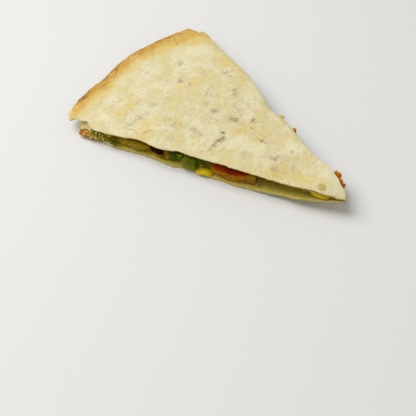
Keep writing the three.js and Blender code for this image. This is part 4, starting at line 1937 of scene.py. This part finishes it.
@dataclass(frozen=True)
class Zone:
    """A stretch of a cut where small bits stick.

    Attributes:
        side: the cut.
        start: nearest distance from the tip.
        end: furthest distance from the tip.
        depth: least and greatest depth behind the cut.
        height: least and greatest share of the gap between the tortillas.
        size: least and greatest length of a bit.
        count: how many bits.
    """

    side: Side
    start: float
    end: float
    depth: tuple[float, float]
    height: tuple[float, float]
    size: tuple[float, float]
    count: int

    def spots(self, rng: np.random.Generator) -> tuple[Array, Array]:
        """Draws the bits' places and lengths.

        Args:
            rng: source of the random numbers.

        Returns:
            Places in millimetres, shape (count, 3), and lengths.
        """
        distance = rng.uniform(self.start, self.end, self.count)
        plan = WEDGE.at_cut(self.side, distance, rng.uniform(*self.depth, self.count))
        along, across = WEDGE.locate(plan)
        low, high = WEDGE.floor(along), WEDGE.ceiling(along, across)
        height = low + (high - low) * rng.uniform(*self.height, self.count)
        return np.column_stack([plan, height]), rng.uniform(*self.size, self.count)


@dataclass(frozen=True)
class Scatter:
    """Small bits of one kind at both cuts, joined in one piece.

    Attributes:
        name: name of the piece.
        slot: the record's material slot; not used.
        finish: the bits' finish.
        zones: where they stick.
        shape: width and thickness of a bit over its length.
        power: squareness of a bit, 2 for a ball.
        seed: picks the places and shapes.
    """

    name: str
    slot: str
    finish: MoistFinish
    zones: tuple[Zone, ...]
    shape: tuple[float, float] = (0.8, 0.65)
    power: float = 2.4
    seed: int = 1

    def build(self) -> Piece:
        """Shapes every bit as a lumpy block, turns it at random and sets it in its place.

        Returns:
            All the bits as one piece, tied to the frame.
        """
        rng = np.random.default_rng(self.seed)
        parts = [zone.spots(rng) for zone in self.zones]
        spots = np.concatenate([spot for spot, _ in parts])
        sizes = np.concatenate([size for _, size in parts])
        unit, faces = block_lattice(6)
        body = rounded(unit, self.power) / 2
        stretch = np.array([1.0, *self.shape]) * rng.uniform(0.75, 1.25, (len(spots), 3))
        bits = body[None] * (stretch * sizes[:, None])[:, None]
        field_points = bits + np.arange(len(spots))[:, None, None] * 7.3
        bits = bits * (1 + 0.28 * lumps(field_points, 0.8, self.seed))[..., None]
        bits = np.einsum("nij,nvj->nvi", random_turns(len(spots), rng), bits) + spots[:, None]
        bits[..., 2] = np.maximum(bits[..., 2], 0.3)
        numbers = faces[None] + np.arange(len(spots))[:, None, None] * len(unit)
        piece = make_piece(self.name, WEDGE.place(bits.reshape(-1, 3)), numbers.reshape(-1, 4))
        finish_piece(piece, self.finish.material())
        return piece


def scatters() -> list[Scatter]:
    """Crumbs of cheese, flakes of herb, bits of salsa and slivers of pepper.

    Returns:
        The kinds of small bits, in the order in which they are built.
    """
    front, back = Side.FRONT, Side.BACK
    crumbs = (
        Zone(front, 121.5, 128.6, (0.1, 2.0), (0.1, 0.9), (0.8, 1.5), 22),
        Zone(back, 56.8, 58.4, (-1.4, -0.5), (0.9, 1.05), (1.8, 2.5), 5),
        Zone(front, 100, 124, (1.0, 3.0), (0.1, 0.9), (0.8, 1.8), 10),
        Zone(front, 60, 96, (1.6, 3.2), (0.05, 0.5), (0.7, 1.6), 8),
        Zone(front, 38, 56, (1.6, 3.0), (0.05, 0.3), (0.6, 1.1), 5),
        Zone(back, 24, 130, (0.4, 2.6), (0.1, 0.9), (0.8, 1.9), 60),
    )
    flakes = (
        Zone(front, 120.5, 128.6, (0.1, 2.0), (0.0, 0.9), (1.0, 2.1), 7),
        Zone(front, 106, 119, (0.8, 2.4), (0.1, 0.9), (0.8, 2.2), 9),
        Zone(front, 60, 86, (0.8, 2.6), (0.05, 0.9), (0.7, 1.6), 12),
        Zone(front, 36, 60, (0.4, 2.4), (0.05, 0.5), (0.6, 1.2), 8),
        Zone(back, 20, 130, (0.2, 2.2), (0.05, 0.9), (0.7, 1.8), 34),
    )
    salsa = (
        Zone(front, 44, 51, (1.4, 2.6), (0.05, 0.4), (0.6, 1.3), 4),
        Zone(front, 22, 38, (4.0, 9.0), (0.0, 0.2), (0.6, 1.2), 5),
        Zone(back, 3.5, 13, (-2.6, -0.8), (0.4, 1.0), (1.2, 2.4), 30),
        Zone(back, 46, 47.6, (-1.7, -0.9), (0.9, 1.05), (1.7, 2.4), 5),
        Zone(back, 22, 130, (0.4, 2.4), (0.05, 0.9), (0.8, 2.0), 36),
    )
    slivers = (
        Zone(front, 112, 118, (0.2, 1.0), (0.2, 0.7), (2.6, 3.8), 3),
        Zone(front, 76, 90, (0.6, 1.6), (0.2, 0.9), (1.6, 3.0), 6),
        Zone(back, 30, 126, (0.4, 1.6), (0.2, 0.8), (2.0, 3.6), 12),
    )
    herbed = (Zone(front, 122.4, 128.4, (0.5, 2.2), (0.0, 0.9), (1.1, 2.2), 62),)
    return [
        Scatter("cheese_crumbs", "cheese_filling", CHEESE, crumbs, seed=201),
        Scatter("herb_flakes", "pepper", HERB, flakes, (0.7, 0.22), 3.0, seed=202),
        Scatter("salsa_bits", "tomato", SALSA, salsa, (0.8, 0.6), 2.8, seed=203),
        Scatter("pepper_slivers", "pepper", PEPPER, slivers, (0.42, 0.4), 5.0, seed=204),
        Scatter("herbed_crumbs", "cheese_filling", HERBED, herbed, (0.8, 0.6), 2.6, seed=205),
    ]


@dataclass(frozen=True)
class Cracks:
    """Hairline cracks in the crisp top, as thin scorched threads sunk into it.

    Attributes:
        lines: each crack as pairs of distance from the tip and sideways place.
        width: greatest width of a crack.
    """

    lines: tuple[tuple[tuple[float, float], ...], ...] = (
        ((150.6, 0.71), (147.4, 0.67), (144.6, 0.65), (139.8, 0.62)),
        ((150.2, -0.04), (149.3, -0.10), (147.2, -0.18), (145.3, -0.25)),
        ((146.0, -0.27), (147.0, -0.32), (147.0, -0.40)),
        ((116.6, -0.86), (113.6, -0.85), (110.8, -0.87)),
        ((107.1, -0.87), (105.3, -0.82), (103.2, -0.75)),
    )
    width: float = 0.34

    def build(self, sheet: TopTortilla) -> Piece:
        """Lays a tapered, wavering tube along each line on the sheet's surface.

        Args:
            sheet: the upper tortilla.

        Returns:
            All the cracks as one piece, tied to the frame.
        """
        parts, faces, start = [], [], 0
        for number, line in enumerate(self.lines):
            share = np.linspace(0, 1, 40)
            knots = np.linspace(0, 1, len(line))
            along = np.interp(share, knots, [r for r, _ in line]) / WEDGE.round_radius
            across = np.interp(share, knots, [c for _, c in line])
            path = sheet.surface(along, across)
            fading = np.sin(math.pi * share) ** 0.3
            path[:, 1] += 0.3 * layered(path, 1.6, 301 + number, 2) * fading
            radius = self.width / 2 * np.sin(math.pi * (0.04 + 0.92 * share)) ** 0.7
            path[:, 2] += 0.06 - radius * 0.6
            points, threads = tube(path, radius)
            parts.append(points)
            faces.append(threads + start)
            start += len(points)
        points = WEDGE.place(np.concatenate(parts))
        piece = make_piece("hairline_cracks", points, np.concatenate(faces))
        finish_piece(piece, SCORCH.material())
        return piece


# ---------------------------------------------------------------------------------------
# Studio
# ---------------------------------------------------------------------------------------


@dataclass
class Studio:
    """Pale floor, soft light and the camera.

    Attributes:
        azimuth: the camera's bearing from the front, in degrees.
        elevation: its height over the floor, in degrees.
        roll: its turn about its own axis, in degrees.
        distance: from the point it looks at, in millimetres.
        target: that point, in the wedge's frame.
        lens: focal length for a sensor 36 wide.
        floor_size: side of the square floor in metres.
        floor_color: its colour.
        world: strength of the even surround.
        key: power of the soft box, in watts.
        fill: power of the fill light, in watts.
        key_spot: place of the soft box, in metres.
        key_size: its side in metres.
        fill_spot: place of the fill light.
    """

    azimuth: float = 41.7
    elevation: float = 48.2
    roll: float = 0.9
    distance: float = 477.6
    target: Triple = (-45.9, -44.2, 6.0)
    lens: float = 87.1
    floor_size: float = 3.0
    floor_color: Color = (0.78, 0.775, 0.76)
    world: float = 0.38
    key: float = 9.7
    fill: float = 0.8
    key_spot: Triple = (-0.5, -0.25, 0.9)
    key_size: float = 0.8
    fill_spot: Triple = (0.2, -0.9, 0.5)

    def floor(self) -> None:
        """A large plain floor with a faint mottle."""
        square = np.array([[-1, -1, 0], [1, -1, 0], [1, 1, 0], [-1, 1, 0]])
        floor = make_piece("studio_floor", square * self.floor_size / 2, np.array([[0, 1, 2, 3]]))
        n = Nodes("studio_floor")
        darker = tuple(0.97 * part for part in self.floor_color)
        color = n.blend(self.floor_color, darker, n.noise(4, 2))
        floor.data.materials.append(n.dress(color, 0.8))

    def lights(self) -> None:
        """An even pale surround, one broad soft box and a weak fill at the front."""
        world = bpy.data.worlds.new("studio")
        bpy.context.scene.world = world
        world.use_nodes = True
        background = world.node_tree.nodes["Background"]
        background.inputs["Color"].default_value = (1.0, 0.99, 0.97, 1.0)
        background.inputs["Strength"].default_value = self.world
        self.area("soft_box", self.key_spot, self.key_size, self.key)
        self.area("front_fill", self.fill_spot, self.key_size, self.fill)

    def area(self, name: str, spot: Triple, size: float, power: float) -> None:
        """Sets one square area light that faces the wedge.

        Args:
            name: the light's name.
            spot: its place in metres.
            size: its side in metres.
            power: its power in watts.
        """
        data = bpy.data.lights.new(name, "AREA")
        data.size = size
        data.energy = power
        light = bpy.data.objects.new(name, data)
        light.location = spot
        light.rotation_euler = (-Vector(spot)).to_track_quat("-Z", "Y").to_euler()
        bpy.context.scene.collection.objects.link(light)

    def camera(self) -> None:
        """Looks at the target from the stated bearing, height and distance."""
        angles = (self.azimuth, self.elevation, self.roll)
        azimuth, elevation, roll = (math.radians(angle) for angle in angles)
        flat = math.cos(elevation)
        ahead = Vector((-math.sin(azimuth) * flat, math.cos(azimuth) * flat, -math.sin(elevation)))
        level = Vector((math.cos(azimuth), math.sin(azimuth), 0.0))
        right = level * math.cos(roll) + level.cross(ahead) * math.sin(roll)
        data = bpy.data.cameras.new("camera")
        data.lens = self.lens
        data.clip_start = 0.01
        camera = bpy.data.objects.new("camera", data)
        spot = Vector(WEDGE.place(np.array(self.target))) - ahead * self.distance * MM
        turn = Matrix((right, right.cross(ahead), -ahead)).transposed()
        camera.matrix_world = Matrix.Translation(spot) @ turn.to_4x4()
        bpy.context.scene.collection.objects.link(camera)
        bpy.context.scene.camera = camera

    def build(self) -> None:
        """Sets up floor, lights, camera and plain colour rendering."""
        self.floor()
        self.lights()
        self.camera()
        bpy.context.scene.view_settings.view_transform = "Standard"


def main() -> None:
    """Builds the wedge and its studio."""
    logging.basicConfig(level=logging.INFO, format="%(name)s %(message)s")
    Studio().build()
    tortilla = TortillaFinish().material()
    top = TopTortilla()
    for sheet in (top, BottomTortilla()):
        finish_piece(sheet.build(), tortilla, [sheet.name])
    for fold in CORNER_FOLDS:
        finish_piece(fold.build(), tortilla)
    Cracks().build(top)
    finish_piece(Filling().build(), FillingFinish().material(), ["filling"])
    finishes = (PEPPER, CORN, TOMATO, ONION, BEAN, CHICKEN, SAUCED)
    materials = {finish.name: finish.material() for finish in finishes}
    for morsel in morsels():
        morsel.build(materials)
    for scatter in scatters():
        scatter.build()
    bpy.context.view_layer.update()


if __name__ == "__main__":
    main()
